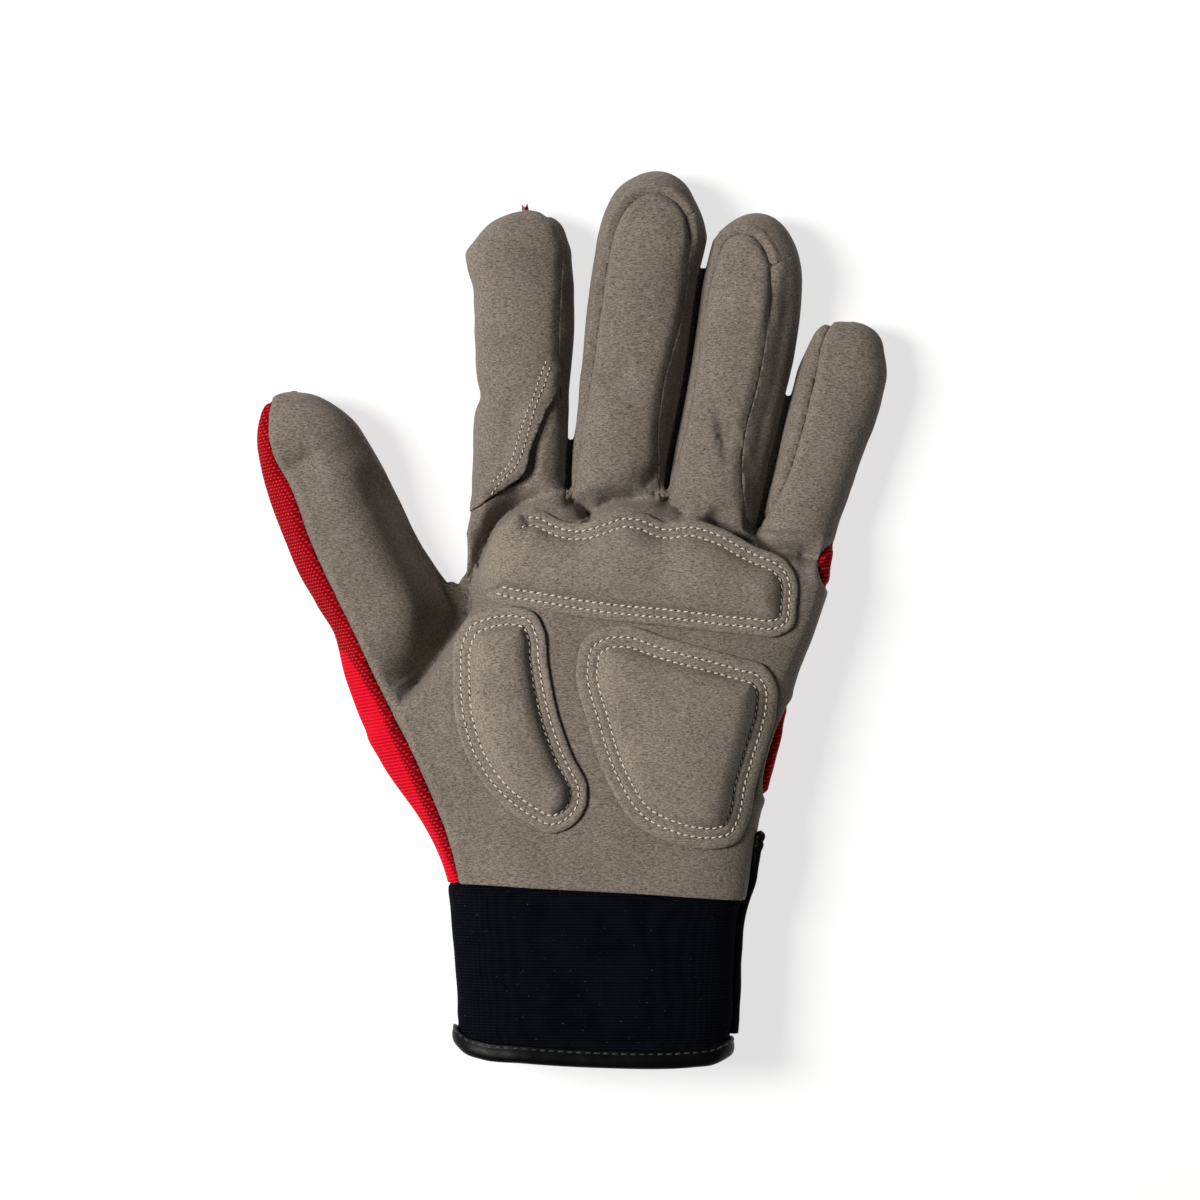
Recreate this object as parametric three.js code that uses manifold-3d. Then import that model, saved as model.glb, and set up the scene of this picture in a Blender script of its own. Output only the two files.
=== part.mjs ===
// Padded work glove for the left hand, lying on its back with the palm up.
// Millimetres. +X runs across the palm, away from the thumb, +Y towards the fingertips, +Z up.

import * as THREE from 'three';
import { mergeVertices } from 'three/addons/utils/BufferGeometryUtils.js';
import Module from 'manifold-3d';

const wasm = await Module();
wasm.setup();

// Driving sizes
const WALL = 2.0;
const GAP = 0.3;
const FINGER_GAP = 0.6;
const SEAM_HEIGHT = 10;
const SINK = 0.8;

const WRIST_WIDTH = 83.2;
const PALM_LENGTH = 109.2;
const PALM_DEPTH = 30;
const PALM_LEAN = 0.158;

const CUFF_LENGTH = 48.4;
const CUFF_MOUTH_WIDTH = 75.6;
const CUFF_DEPTH = 28.7;
const CUFF_WALL = 2.6;
const CUFF_LEAN = 0.037;
const BINDING_WIDTH = 5.0;
const BINDING_THICKNESS = 1.2;
const PIPING_DIAMETER = 2.6;
const PIPING_HEIGHT = 0.58;
const STRAP_WIDTH = 34;
const STRAP_THICKNESS = 2.0;
const STRAP_REACH = 62;
const STRAP_WRAP = 0.36;

const PAD_CLOTH = 1.2;
const PAD_FLANGE = 5.6;
const PAD_SHOULDER = 5.0;
const FOLD_WIDTH = 5.0;
const FOLD_DEPTH = 1.0;

// Each digit: length from its base line, width, depth, and lean of its axis (mm across per mm along).
const INDEX = { length: 80.1, width: 28.3, depth: 22, lean: -0.02 };
const MIDDLE = { length: 91.0, width: 31.4, depth: 24, lean: 0.117 };
const RING = { length: 79.0, width: 29.3, depth: 23, lean: 0.163 };
const LITTLE = { length: 49.6, width: 26.3, depth: 20, lean: 0.249 };
const THUMB = { length: 59.4, width: 36.4, depth: 25, lean: -0.48 };

// Each pad: width, length and the height of its padded middle.
const KNUCKLE_PAD = { width: 88.6, length: 35.0, bulge: 4.6 };
const THENAR_PAD = { width: 37.2, length: 62.5, bulge: 5.0 };
const HEEL_PAD = { width: 55.6, length: 62.0, bulge: 5.4 };

// Corners of the cross-sections: 2 is an ellipse, larger is squarer.
const DIGIT_CORNER = 2.4;
const PALM_CORNER = 2.8;
const CUFF_CORNER = 3.0;
const DIGIT_SIDES = 12;
const DIGIT_HOLLOW_SIDES = 8;
const PALM_SIDES = 24;
const PALM_HOLLOW_SIDES = 16;
const CUFF_SIDES = 20;
const PIPING_SIDES = 8;
const FOLD_STEPS = 6;
const PAD_SPLITS = 1.5;

// Places set as shares: the thumb's root and the little finger's crotch on the palm, how far up the
// cuff's side the binding runs (PIPING_HEIGHT) and the strap wraps (STRAP_WRAP).
const THUMB_ROOT = { at: 0.726, across: -0.717 };
const LITTLE_CROTCH = 0.913;

// Sizes that follow from the ones above
const CUFF_LIFT = STRAP_THICKNESS + GAP;
const TALLEST = 2 * Math.max(PALM_DEPTH, CUFF_DEPTH + CUFF_LIFT, THUMB.depth);
const PIPING_SEAT = PIPING_DIAMETER / 4;
const PAD_DEPTH = 3 * PAD_CLOTH;
const CROTCH_WEB = 1.5 * WALL;

// Sections of each digit. at: share of its length; shift and half: section centre and half width,
// shares of its width; high: top of the section, share of its depth; low: its underside, likewise.
INDEX.rows = [
  { at: -0.480, shift: 0.060, half: 0.320, low: 0.36, high: 0.92 },
  { at: -0.300, shift: -0.045, half: 0.470, low: 0.16, high: 1.02 },
  { at: -0.122, shift: -0.037, half: 0.485, low: 0.03, high: 1.03 },
  { at: 0.000, shift: 0.000, half: 0.475, low: 0, high: 1.00 },
  { at: 0.192, shift: 0.013, half: 0.473, low: 0, high: 1.00 },
  { at: 0.353, shift: 0.057, half: 0.433, low: 0, high: 0.98 },
  { at: 0.416, shift: 0.051, half: 0.458, low: 0, high: 0.99 },
  { at: 0.717, shift: 0.070, half: 0.505, low: 0, high: 1.00 },
  { at: 0.843, shift: 0.028, half: 0.525, low: 0, high: 0.96 },
  { at: 0.899, shift: 0.063, half: 0.453, low: 0.04, high: 0.91 },
  { at: 0.955, shift: 0.104, half: 0.347, low: 0.12, high: 0.80 },
  { at: 0.986, shift: 0.130, half: 0.193, low: 0.24, high: 0.66 },
];
MIDDLE.rows = [
  { at: -0.246, shift: 0.093, half: 0.393, low: 0.10, high: 1.02 },
  { at: -0.108, shift: 0.037, half: 0.402, low: 0.04, high: 1.01 },
  { at: 0.000, shift: 0.000, half: 0.420, low: 0, high: 0.97 },
  { at: 0.102, shift: -0.014, half: 0.435, low: 0, high: 0.99 },
  { at: 0.255, shift: 0.016, half: 0.442, low: 0, high: 1.00 },
  { at: 0.523, shift: 0.017, half: 0.475, low: 0, high: 1.00 },
  { at: 0.769, shift: 0.047, half: 0.496, low: 0, high: 0.98 },
  { at: 0.846, shift: 0.030, half: 0.455, low: 0.02, high: 0.95 },
  { at: 0.908, shift: 0.009, half: 0.379, low: 0.07, high: 0.88 },
  { at: 0.957, shift: 0.003, half: 0.288, low: 0.14, high: 0.79 },
  { at: 0.988, shift: 0.008, half: 0.156, low: 0.25, high: 0.66 },
];
RING.rows = [
  { at: -0.284, shift: 0.003, half: 0.407, low: 0.10, high: 1.02 },
  { at: -0.124, shift: -0.008, half: 0.443, low: 0.04, high: 1.01 },
  { at: 0.000, shift: 0.000, half: 0.467, low: 0, high: 0.97 },
  { at: 0.117, shift: 0.001, half: 0.481, low: 0, high: 0.99 },
  { at: 0.408, shift: 0.043, half: 0.498, low: 0, high: 1.00 },
  { at: 0.727, shift: 0.027, half: 0.498, low: 0, high: 0.98 },
  { at: 0.826, shift: 0.000, half: 0.462, low: 0.02, high: 0.95 },
  { at: 0.894, shift: -0.029, half: 0.404, low: 0.06, high: 0.89 },
  { at: 0.943, shift: -0.037, half: 0.313, low: 0.12, high: 0.82 },
  { at: 0.980, shift: -0.037, half: 0.191, low: 0.24, high: 0.68 },
];
LITTLE.rows = [
  { at: -1.050, shift: -0.020, half: 0.300, low: 0.42, high: 1.02 },
  { at: -0.537, shift: 0.052, half: 0.410, low: 0.14, high: 1.06 },
  { at: -0.282, shift: -0.011, half: 0.407, low: 0.03, high: 1.02 },
  { at: 0.000, shift: 0.000, half: 0.444, low: 0, high: 1.00 },
  { at: 0.198, shift: 0.014, half: 0.460, low: 0, high: 1.00 },
  { at: 0.548, shift: 0.036, half: 0.497, low: 0, high: 1.00 },
  { at: 0.695, shift: 0.036, half: 0.487, low: 0, high: 0.98 },
  { at: 0.808, shift: 0.017, half: 0.436, low: 0.02, high: 0.94 },
  { at: 0.887, shift: -0.004, half: 0.383, low: 0.07, high: 0.89 },
  { at: 0.949, shift: -0.038, half: 0.298, low: 0.14, high: 0.81 },
  { at: 0.983, shift: -0.054, half: 0.186, low: 0.25, high: 0.67 },
];
THUMB.rows = [
  { at: -1.060, shift: -0.290, half: 0.180, low: 0.44, high: 0.72 },
  { at: -0.887, shift: -0.313, half: 0.281, low: 0.24, high: 0.84 },
  { at: -0.651, shift: -0.313, half: 0.350, low: 0.08, high: 0.92 },
  { at: -0.311, shift: -0.201, half: 0.412, low: 0, high: 1.00 },
  { at: -0.160, shift: -0.083, half: 0.465, low: 0, high: 1.02 },
  { at: 0.000, shift: 0.000, half: 0.562, low: 0, high: 1.03 },
  { at: 0.113, shift: -0.034, half: 0.546, low: 0, high: 1.03 },
  { at: 0.269, shift: -0.063, half: 0.512, low: 0, high: 1.00 },
  { at: 0.458, shift: -0.061, half: 0.500, low: 0, high: 0.98 },
  { at: 0.632, shift: -0.038, half: 0.467, low: 0, high: 0.97 },
  { at: 0.764, shift: -0.010, half: 0.419, low: 0.02, high: 0.94 },
  { at: 0.858, shift: 0.024, half: 0.360, low: 0.06, high: 0.88 },
  { at: 0.929, shift: 0.037, half: 0.267, low: 0.12, high: 0.80 },
  { at: 0.976, shift: 0.041, half: 0.162, low: 0.24, high: 0.68 },
];

// Sections of the palm. at: share of its length from the wrist seam; left and right: edges, shares of
// its width there; lift: share of the cuff's lift off the surface; high: top, share of its depth.
const PALM_ROWS = [
  { at: -0.070, left: 0.493, right: 0.494, lift: 1.0, high: 1.03 },
  { at: 0.000, left: 0.507, right: 0.503, lift: 1.0, high: 1.03 },
  { at: 0.090, left: 0.552, right: 0.490, lift: 0.5, high: 1.02 },
  { at: 0.167, left: 0.611, right: 0.484, lift: 0, high: 1.01 },
  { at: 0.244, left: 0.679, right: 0.485, lift: 0, high: 1.00 },
  { at: 0.321, left: 0.741, right: 0.489, lift: 0, high: 1.00 },
  { at: 0.397, left: 0.784, right: 0.483, lift: 0, high: 1.00 },
  { at: 0.474, left: 0.732, right: 0.481, lift: 0, high: 0.99 },
  { at: 0.551, left: 0.636, right: 0.485, lift: 0, high: 0.98 },
  { at: 0.628, left: 0.564, right: 0.501, lift: 0, high: 0.96 },
  { at: 0.726, left: 0.515, right: 0.508, lift: 0, high: 0.93 },
  { at: 0.808, left: 0.508, right: 0.502, lift: 0, high: 0.89 },
  { at: 0.892, left: 0.505, right: 0.486, lift: 0, high: 0.84 },
  { at: 0.913, left: 0.505, right: 0.260, lift: 0, high: 0.82 },
  { at: 0.975, left: 0.502, right: 0.208, lift: 0, high: 0.74 },
  { at: 1.000, left: 0.500, right: 0.206, lift: 0, high: 0.64 },
];

// Sections of the cuff. at: share of its length from the wrist seam towards the mouth; left and right:
// edges, shares of its width there.
const CUFF_ROWS = [
  { at: -0.12, left: 0.507, right: 0.503 },
  { at: 0.00, left: 0.507, right: 0.500 },
  { at: 0.10, left: 0.504, right: 0.486 },
  { at: 0.24, left: 0.503, right: 0.478 },
  { at: 0.40, left: 0.500, right: 0.482 },
  { at: 0.65, left: 0.497, right: 0.495 },
  { at: 1.10, left: 0.505, right: 0.505 },
];

// Where the palm meets the cuff: across, share of the wrist width; rise, share of the palm length.
const WRIST_LINE = [
  { across: -0.70, rise: 0.013 },
  { across: -0.47, rise: 0.011 },
  { across: -0.20, rise: 0.000 },
  { across: 0.15, rise: -0.014 },
  { across: 0.46, rise: -0.031 },
  { across: 0.70, rise: -0.040 },
];

// The cuff's bound mouth: across, share of the mouth width; along, share of the cuff length.
const MOUTH_LINE = [
  { across: -0.56, along: 0.84 },
  { across: -0.50, along: 0.90 },
  { across: -0.46, along: 0.95 },
  { across: -0.40, along: 0.98 },
  { across: -0.25, along: 1.00 },
  { across: 0.03, along: 1.025 },
  { across: 0.36, along: 1.025 },
  { across: 0.43, along: 1.015 },
  { across: 0.48, along: 0.985 },
  { across: 0.56, along: 0.940 },
];

// The side binding, from its nub on the palm down. at: share of the palm length, or below the wrist seam
// of the cuff length; thick: share of its diameter.
const PIPING_ROWS = [
  { at: 0.140, thick: 0.55 },
  { at: 0.128, thick: 1.25 },
  { at: 0.105, thick: 1.25 },
  { at: 0.092, thick: 1.0 },
  { at: 0.045, thick: 1.0 },
  { at: 0, thick: 1.0 },
  { at: -0.10, thick: 1.0 },
  { at: -0.24, thick: 1.0 },
  { at: -0.45, thick: 1.0 },
];

// Seams on the digits. at: share of the digit's length; across: share of its width from its axis.
const INDEX_SIDE_SEAM = [
  { at: 1.060, across: 0.230 },
  { at: 0.997, across: 0.294 },
  { at: 0.951, across: 0.400 },
  { at: 0.874, across: 0.470 },
  { at: 0.724, across: 0.452 },
  { at: 0.531, across: 0.419 },
  { at: 0.395, across: 0.411 },
  { at: 0.227, across: 0.440 },
  { at: 0.087, across: 0.430 },
  { at: -0.014, across: 0.400 },
];
const INDEX_LAP_SEAM = [
  { at: -0.060, across: -0.700 },
  { at: -0.038, across: -0.458 },
  { at: -0.017, across: -0.278 },
  { at: 0.017, across: -0.098 },
  { at: 0.094, across: 0.025 },
  { at: 0.178, across: 0.149 },
  { at: 0.262, across: 0.272 },
  { at: 0.339, across: 0.366 },
  { at: 0.395, across: 0.411 },
];
const MIDDLE_LEFT_SEAM = [
  { at: -0.020, across: -0.350 },
  { at: 0.135, across: -0.372 },
  { at: 0.369, across: -0.366 },
  { at: 0.637, across: -0.350 },
  { at: 0.735, across: -0.339 },
  { at: 0.822, across: -0.310 },
  { at: 0.883, across: -0.233 },
  { at: 0.920, across: -0.111 },
  { at: 0.930, across: -0.021 },
  { at: 0.923, across: 0.120 },
  { at: 0.895, across: 0.245 },
  { at: 0.855, across: 0.335 },
];
const MIDDLE_RIGHT_SEAM = [
  { at: 0.855, across: 0.335 },
  { at: 0.803, across: 0.384 },
  { at: 0.702, across: 0.399 },
  { at: 0.569, across: 0.396 },
  { at: 0.437, across: 0.343 },
  { at: 0.335, across: 0.300 },
  { at: 0.200, across: 0.294 },
  { at: 0.102, across: 0.315 },
  { at: -0.020, across: 0.340 },
];
const RING_LEFT_SEAM = [
  { at: -0.020, across: -0.390 },
  { at: 0.165, across: -0.400 },
  { at: 0.340, across: -0.382 },
  { at: 0.695, across: -0.394 },
  { at: 0.784, across: -0.381 },
  { at: 0.853, across: -0.358 },
  { at: 0.915, across: -0.290 },
  { at: 0.930, across: -0.177 },
  { at: 0.918, across: -0.052 },
  { at: 0.871, across: 0.087 },
  { at: 0.809, across: 0.174 },
];
const RING_RIGHT_SEAM = [
  { at: 0.809, across: 0.174 },
  { at: 0.695, across: 0.224 },
  { at: 0.562, across: 0.235 },
  { at: 0.387, across: 0.230 },
  { at: 0.253, across: 0.192 },
  { at: 0.121, across: 0.198 },
  { at: -0.011, across: 0.261 },
  { at: -0.135, across: 0.320 },
];
const LITTLE_LEFT_SEAM = [
  { at: -0.215, across: -0.380 },
  { at: -0.060, across: -0.357 },
  { at: 0.122, across: -0.283 },
  { at: 0.333, across: -0.255 },
  { at: 0.727, across: -0.265 },
  { at: 0.881, across: -0.285 },
  { at: 0.958, across: -0.254 },
  { at: 1.060, across: -0.100 },
];

// Edge of the red back fabric where it comes round the thumb: first on the thumb, then on the palm.
const THUMB_BACK_SEAM = [
  { at: 1.060, across: -0.150 },
  { at: 0.948, across: -0.181 },
  { at: 0.877, across: -0.256 },
  { at: 0.689, across: -0.353 },
  { at: 0.547, across: -0.333 },
  { at: 0.297, across: -0.375 },
  { at: 0.028, across: -0.386 },
];
const PALM_BACK_SEAM = [
  { at: 0.479, across: -0.724 },
  { at: 0.326, across: -0.629 },
  { at: 0.164, across: -0.540 },
  { at: 0.010, across: -0.471 },
  { at: -0.080, across: -0.429 },
];
// The two slivers of back fabric at the palm's right edge.
const UPPER_PEEK_SEAM = [
  { at: 0.869, across: 0.540 },
  { at: 0.869, across: 0.485 },
  { at: 0.838, across: 0.466 },
  { at: 0.772, across: 0.500 },
  { at: 0.750, across: 0.540 },
];
const LOWER_PEEK_SEAM = [
  { at: 0.490, across: 0.540 },
  { at: 0.469, across: 0.484 },
  { at: 0.421, across: 0.471 },
  { at: 0.351, across: 0.465 },
  { at: 0.295, across: 0.465 },
  { at: 0.249, across: 0.474 },
  { at: 0.175, across: 0.540 },
];

// Pads. at and across: centre on the palm. spine and outline: shares of the pad's width and length
// from its centre; a pad rises from its outline towards its spine.
KNUCKLE_PAD.at = 0.801;
KNUCKLE_PAD.across = -0.032;
KNUCKLE_PAD.spine = { from: { across: -0.32, up: 0.09 }, to: { across: 0.30, up: -0.14 } };
KNUCKLE_PAD.outline = [
  { across: -0.500, up: -0.028 },
  { across: -0.482, up: -0.168 },
  { across: -0.434, up: -0.236 },
  { across: -0.333, up: -0.280 },
  { across: -0.140, up: -0.362 },
  { across: 0.102, up: -0.423 },
  { across: 0.344, up: -0.489 },
  { across: 0.441, up: -0.500 },
  { across: 0.486, up: -0.436 },
  { across: 0.500, up: -0.260 },
  { across: 0.496, up: -0.020 },
  { across: 0.465, up: 0.097 },
  { across: 0.369, up: 0.210 },
  { across: 0.255, up: 0.364 },
  { across: 0.167, up: 0.424 },
  { across: 0.085, up: 0.404 },
  { across: 0.021, up: 0.474 },
  { across: -0.048, up: 0.492 },
  { across: -0.108, up: 0.444 },
  { across: -0.174, up: 0.393 },
  { across: -0.244, up: 0.420 },
  { across: -0.298, up: 0.492 },
  { across: -0.358, up: 0.500 },
  { across: -0.427, up: 0.396 },
  { across: -0.481, up: 0.156 },
];
THENAR_PAD.at = 0.427;
THENAR_PAD.across = -0.317;
THENAR_PAD.spine = { from: { across: -0.15, up: 0.20 }, to: { across: 0.14, up: -0.24 } };
THENAR_PAD.outline = [
  { across: -0.485, up: 0.351 },
  { across: -0.410, up: 0.441 },
  { across: -0.229, up: 0.488 },
  { across: -0.041, up: 0.500 },
  { across: 0.102, up: 0.477 },
  { across: 0.180, up: 0.401 },
  { across: 0.207, up: 0.262 },
  { across: 0.288, up: 0.020 },
  { across: 0.395, up: -0.159 },
  { across: 0.500, up: -0.289 },
  { across: 0.489, up: -0.388 },
  { across: 0.387, up: -0.469 },
  { across: 0.227, up: -0.500 },
  { across: 0.034, up: -0.446 },
  { across: -0.202, up: -0.332 },
  { across: -0.380, up: -0.177 },
  { across: -0.481, up: 0.020 },
  { across: -0.500, up: 0.194 },
];
HEEL_PAD.at = 0.383;
HEEL_PAD.across = 0.162;
HEEL_PAD.spine = { from: { across: -0.06, up: 0.12 }, to: { across: 0.12, up: -0.10 } };
HEEL_PAD.outline = [
  { across: -0.500, up: 0.319 },
  { across: -0.470, up: 0.428 },
  { across: -0.384, up: 0.486 },
  { across: -0.258, up: 0.500 },
  { across: -0.047, up: 0.444 },
  { across: 0.311, up: 0.356 },
  { across: 0.442, up: 0.317 },
  { across: 0.497, up: 0.243 },
  { across: 0.500, up: 0.107 },
  { across: 0.447, up: -0.064 },
  { across: 0.397, up: -0.222 },
  { across: 0.361, up: -0.380 },
  { across: 0.301, up: -0.471 },
  { across: 0.170, up: -0.500 },
  { across: -0.031, up: -0.468 },
  { across: -0.203, up: -0.389 },
  { across: -0.334, up: -0.218 },
  { across: -0.440, up: 0.053 },
];
// Rise of a pad's top from its edge inwards. flat: share of the flange width; shoulder: share of the
// shoulder width past it; rise: share of the bulge above the cloth. The last row lies along the spine.
const PAD_PROFILE = [
  { flat: 1, shoulder: 0, rise: 0 },
  { flat: 1, shoulder: 0.35, rise: 0.45 },
  { flat: 1, shoulder: 1, rise: 0.86 },
  { flat: 1, shoulder: 9, rise: 1 },
];
const PAD_PULL_MOST = 0.9;

// Main folds. on: what the two ends are measured on; width and depth: shares of the fold sizes.
const FOLDS = [
  { on: 'palm', from: { at: 0.72, across: -0.5 }, to: { at: 0.52, across: -0.655 }, width: 1.4, depth: 0.8 },
  { on: 'palm', from: { at: 0.79, across: -0.5 }, to: { at: 0.955, across: -0.37 }, width: 1.2, depth: 0.8 },
  { on: 'palm', from: { at: 0.965, across: -0.18 }, to: { at: 0.985, across: 0 }, width: 0.8, depth: 0.7 },
  { on: 'palm', from: { at: 0.985, across: 0.02 }, to: { at: 0.945, across: 0.07 }, width: 0.8, depth: 0.7 },
  { on: 'palm', from: { at: 0.915, across: 0.15 }, to: { at: 0.885, across: 0.23 }, width: 0.8, depth: 0.7 },
  { on: 'palm', from: { at: 0.880, across: 0.27 }, to: { at: 0.845, across: 0.37 }, width: 0.8, depth: 0.7 },
  { on: 'index', from: { at: 0.353, across: -0.38 }, to: { at: 0.26, across: 0.11 }, width: 1.2, depth: 0.7 },
  { on: 'thumb', from: { at: 0.59, across: -0.25 }, to: { at: 0.70, across: -0.03 }, width: 1.4, depth: 0.7 },
];

// Solids from meshes, and back

function toSolid(geometry) {
  const bare = geometry.clone();
  bare.deleteAttribute('normal');
  bare.deleteAttribute('uv');
  const merged = mergeVertices(bare, 1e-5);
  const vertProperties = new Float32Array(merged.attributes.position.array);
  const triVerts = new Uint32Array(merged.index.array);
  return new wasm.Manifold(new wasm.Mesh({ numProp: 3, vertProperties, triVerts }));
}

function toGeometry(solid) {
  const { vertProperties, triVerts } = solid.getMesh();
  const geometry = new THREE.BufferGeometry();
  geometry.setAttribute('position', new THREE.BufferAttribute(new Float32Array(vertProperties), 3));
  geometry.setIndex(new THREE.BufferAttribute(new Uint32Array(triVerts), 1));
  geometry.computeVertexNormals();
  return geometry;
}

function join(solids) {
  return solids.reduce((sum, solid) => sum.add(solid));
}

function largestBody(solid) {
  return solid.decompose().reduce((best, body) => (body.volume() > best.volume() ? body : best));
}

// A skin of rings, closed at both ends by a fan to a point.
function skin(rings, firstPoint, lastPoint) {
  const sides = rings[0].length;
  const points = [...rings.flat(), firstPoint, lastPoint];
  const first = points.length - 2;
  const last = points.length - 1;
  const index = [];
  for (let side = 0; side < sides; side += 1) {
    const next = (side + 1) % sides;
    index.push(side, next, first);
    for (let row = 0; row + 1 < rings.length; row += 1) {
      const here = row * sides;
      const beyond = here + sides;
      index.push(here + side, beyond + side, here + next);
      index.push(here + next, beyond + side, beyond + next);
    }
    const end = (rings.length - 1) * sides;
    index.push(end + next, end + side, last);
  }
  const geometry = new THREE.BufferGeometry();
  geometry.setFromPoints(points);
  geometry.setIndex(index);
  return geometry;
}

// A section is an upright superellipse at one y. inset moves it inwards on every side.
function sectionRing(section, inset, sides, corner) {
  const halfWidth = section.half - inset;
  const halfHeight = (section.top - section.bottom) / 2 - inset;
  const middle = (section.top + section.bottom) / 2;
  const ring = [];
  for (let side = 0; side < sides; side += 1) {
    const angle = 2 * Math.PI * side / sides;
    const across = Math.cos(angle);
    const up = Math.sin(angle);
    ring.push(new THREE.Vector3(
      section.x + halfWidth * Math.sign(across) * Math.abs(across) ** (2 / corner),
      section.y,
      middle + halfHeight * Math.sign(up) * Math.abs(up) ** (2 / corner),
    ));
  }
  return ring;
}

function ringCentre(section, y) {
  return new THREE.Vector3(section.x, y, (section.top + section.bottom) / 2);
}

function loft(sections, inset, sides, corner, endY) {
  const rings = sections.map((section) => sectionRing(section, inset, sides, corner));
  const firstPoint = ringCentre(sections[0], sections[0].y);
  const lastPoint = ringCentre(sections.at(-1), endY);
  return toSolid(skin(rings, firstPoint, lastPoint));
}

function prism(points, bottom, top) {
  const shape = new THREE.Shape(points.map((point) => new THREE.Vector2(point.x, point.y)));
  const geometry = new THREE.ExtrudeGeometry(shape, { depth: top - bottom, bevelEnabled: false });
  geometry.translate(0, 0, bottom);
  return toSolid(geometry);
}

function block(low, high) {
  const size = new THREE.Vector3().subVectors(high, low);
  const middle = new THREE.Vector3().addVectors(low, high).multiplyScalar(0.5);
  const geometry = new THREE.BoxGeometry(size.x, size.y, size.z);
  geometry.translate(middle.x, middle.y, middle.z);
  return toSolid(geometry);
}

// A thin upright sheet that follows a line in plan, for the gap along a seam.
function seamSlot(line, bottom, top) {
  const left = [];
  const right = [];
  line.forEach((point, place) => {
    const before = line[Math.max(place - 1, 0)];
    const after = line[Math.min(place + 1, line.length - 1)];
    const along = new THREE.Vector2(after.x - before.x, after.y - before.y).normalize();
    left.push({ x: point.x - along.y * GAP / 2, y: point.y + along.x * GAP / 2 });
    right.push({ x: point.x + along.y * GAP / 2, y: point.y - along.x * GAP / 2 });
  });
  return prism([...left, ...right.reverse()], bottom, top);
}

// Places in plan

const FINGERS = [INDEX, MIDDLE, RING, LITTLE];
FINGERS.forEach((finger) => {
  finger.baseHalf = finger.width * finger.rows.find((row) => row.at === 0).half;
});
const KNUCKLE_WIDTH = FINGERS.reduce((sum, finger) => sum + 2 * finger.baseHalf, 0)
  + FINGER_GAP * (FINGERS.length - 1);

function palmWidth(at) {
  return WRIST_WIDTH + (KNUCKLE_WIDTH - WRIST_WIDTH) * at;
}

function onPalm({ at, across }) {
  const y = at * PALM_LENGTH;
  return { x: PALM_LEAN * y + across * palmWidth(at), y };
}

function onDigit(digit, { at, across }) {
  const along = at * digit.length;
  return { x: digit.baseX + digit.lean * along + across * digit.width, y: digit.baseY + along };
}

function onCuff({ at, across }) {
  const y = -at * CUFF_LENGTH;
  const width = WRIST_WIDTH + (CUFF_MOUTH_WIDTH - WRIST_WIDTH) * Math.min(Math.max(at, 0), 1);
  return { x: CUFF_LEAN * y + across * width, y };
}

let fingerEdge = onPalm({ at: 1, across: -0.5 }).x;
FINGERS.forEach((finger) => {
  finger.baseX = fingerEdge + finger.baseHalf;
  finger.baseY = PALM_LENGTH;
  fingerEdge += 2 * finger.baseHalf + FINGER_GAP;
});
const thumbBase = onPalm(THUMB_ROOT);
THUMB.baseX = thumbBase.x;
THUMB.baseY = thumbBase.y;
const DIGITS = [...FINGERS, THUMB];

// Sections in millimetres

function digitSections(digit, length) {
  return digit.rows.map((row) => {
    const along = row.at * (row.at > 0 ? length : digit.length);
    return {
      x: digit.baseX + digit.lean * along + row.shift * digit.width,
      y: digit.baseY + along,
      half: row.half * digit.width,
      bottom: row.low * digit.depth - SINK,
      top: row.high * digit.depth,
    };
  });
}

function palmSections() {
  return PALM_ROWS.map((row) => {
    const left = onPalm({ at: row.at, across: -row.left });
    const right = onPalm({ at: row.at, across: row.right });
    return {
      x: (left.x + right.x) / 2,
      y: left.y,
      half: (right.x - left.x) / 2,
      bottom: row.lift * (CUFF_LIFT + SINK) - SINK,
      top: row.high * PALM_DEPTH,
    };
  });
}

function cuffSections() {
  return CUFF_ROWS.map((row) => {
    const left = onCuff({ at: row.at, across: -row.left });
    const right = onCuff({ at: row.at, across: row.right });
    return {
      x: (left.x + right.x) / 2,
      y: left.y,
      half: (right.x - left.x) / 2,
      bottom: CUFF_LIFT,
      top: CUFF_LIFT + CUFF_DEPTH,
    };
  }).reverse();
}

// The hollow of a digit is smoother than its outside: it keeps every second section.
function digitLoft(digit, inset) {
  const length = digit.length - inset;
  const end = digit.baseY + length;
  const sections = digitSections(digit, length);
  if (inset <= 0) return loft(sections, inset, DIGIT_SIDES, DIGIT_CORNER, end);
  const last = sections.length - 1;
  const kept = sections.filter((section, place) => (last - place) % 2 === 0);
  return loft(kept, inset, DIGIT_HOLLOW_SIDES, DIGIT_CORNER, end);
}

function palmLoft(inset) {
  const sections = palmSections();
  const last = sections.at(-1);
  const lastLine = PALM_LENGTH - Math.max(inset, 0);
  const kept = sections.filter((section) => section === last || section.y < lastLine);
  kept[kept.length - 1] = { ...last, y: lastLine };
  return loft(kept, inset, inset > 0 ? PALM_HOLLOW_SIDES : PALM_SIDES, PALM_CORNER, lastLine);
}

function handForm(inset) {
  return join([palmLoft(inset), ...DIGITS.map((digit) => digitLoft(digit, inset))]);
}

// Height of the hand's upper surface over a point in plan.
const SURFACES = [
  { sections: palmSections(), corner: PALM_CORNER },
  ...DIGITS.map((digit) => ({ sections: digitSections(digit, digit.length), corner: DIGIT_CORNER })),
];

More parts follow.
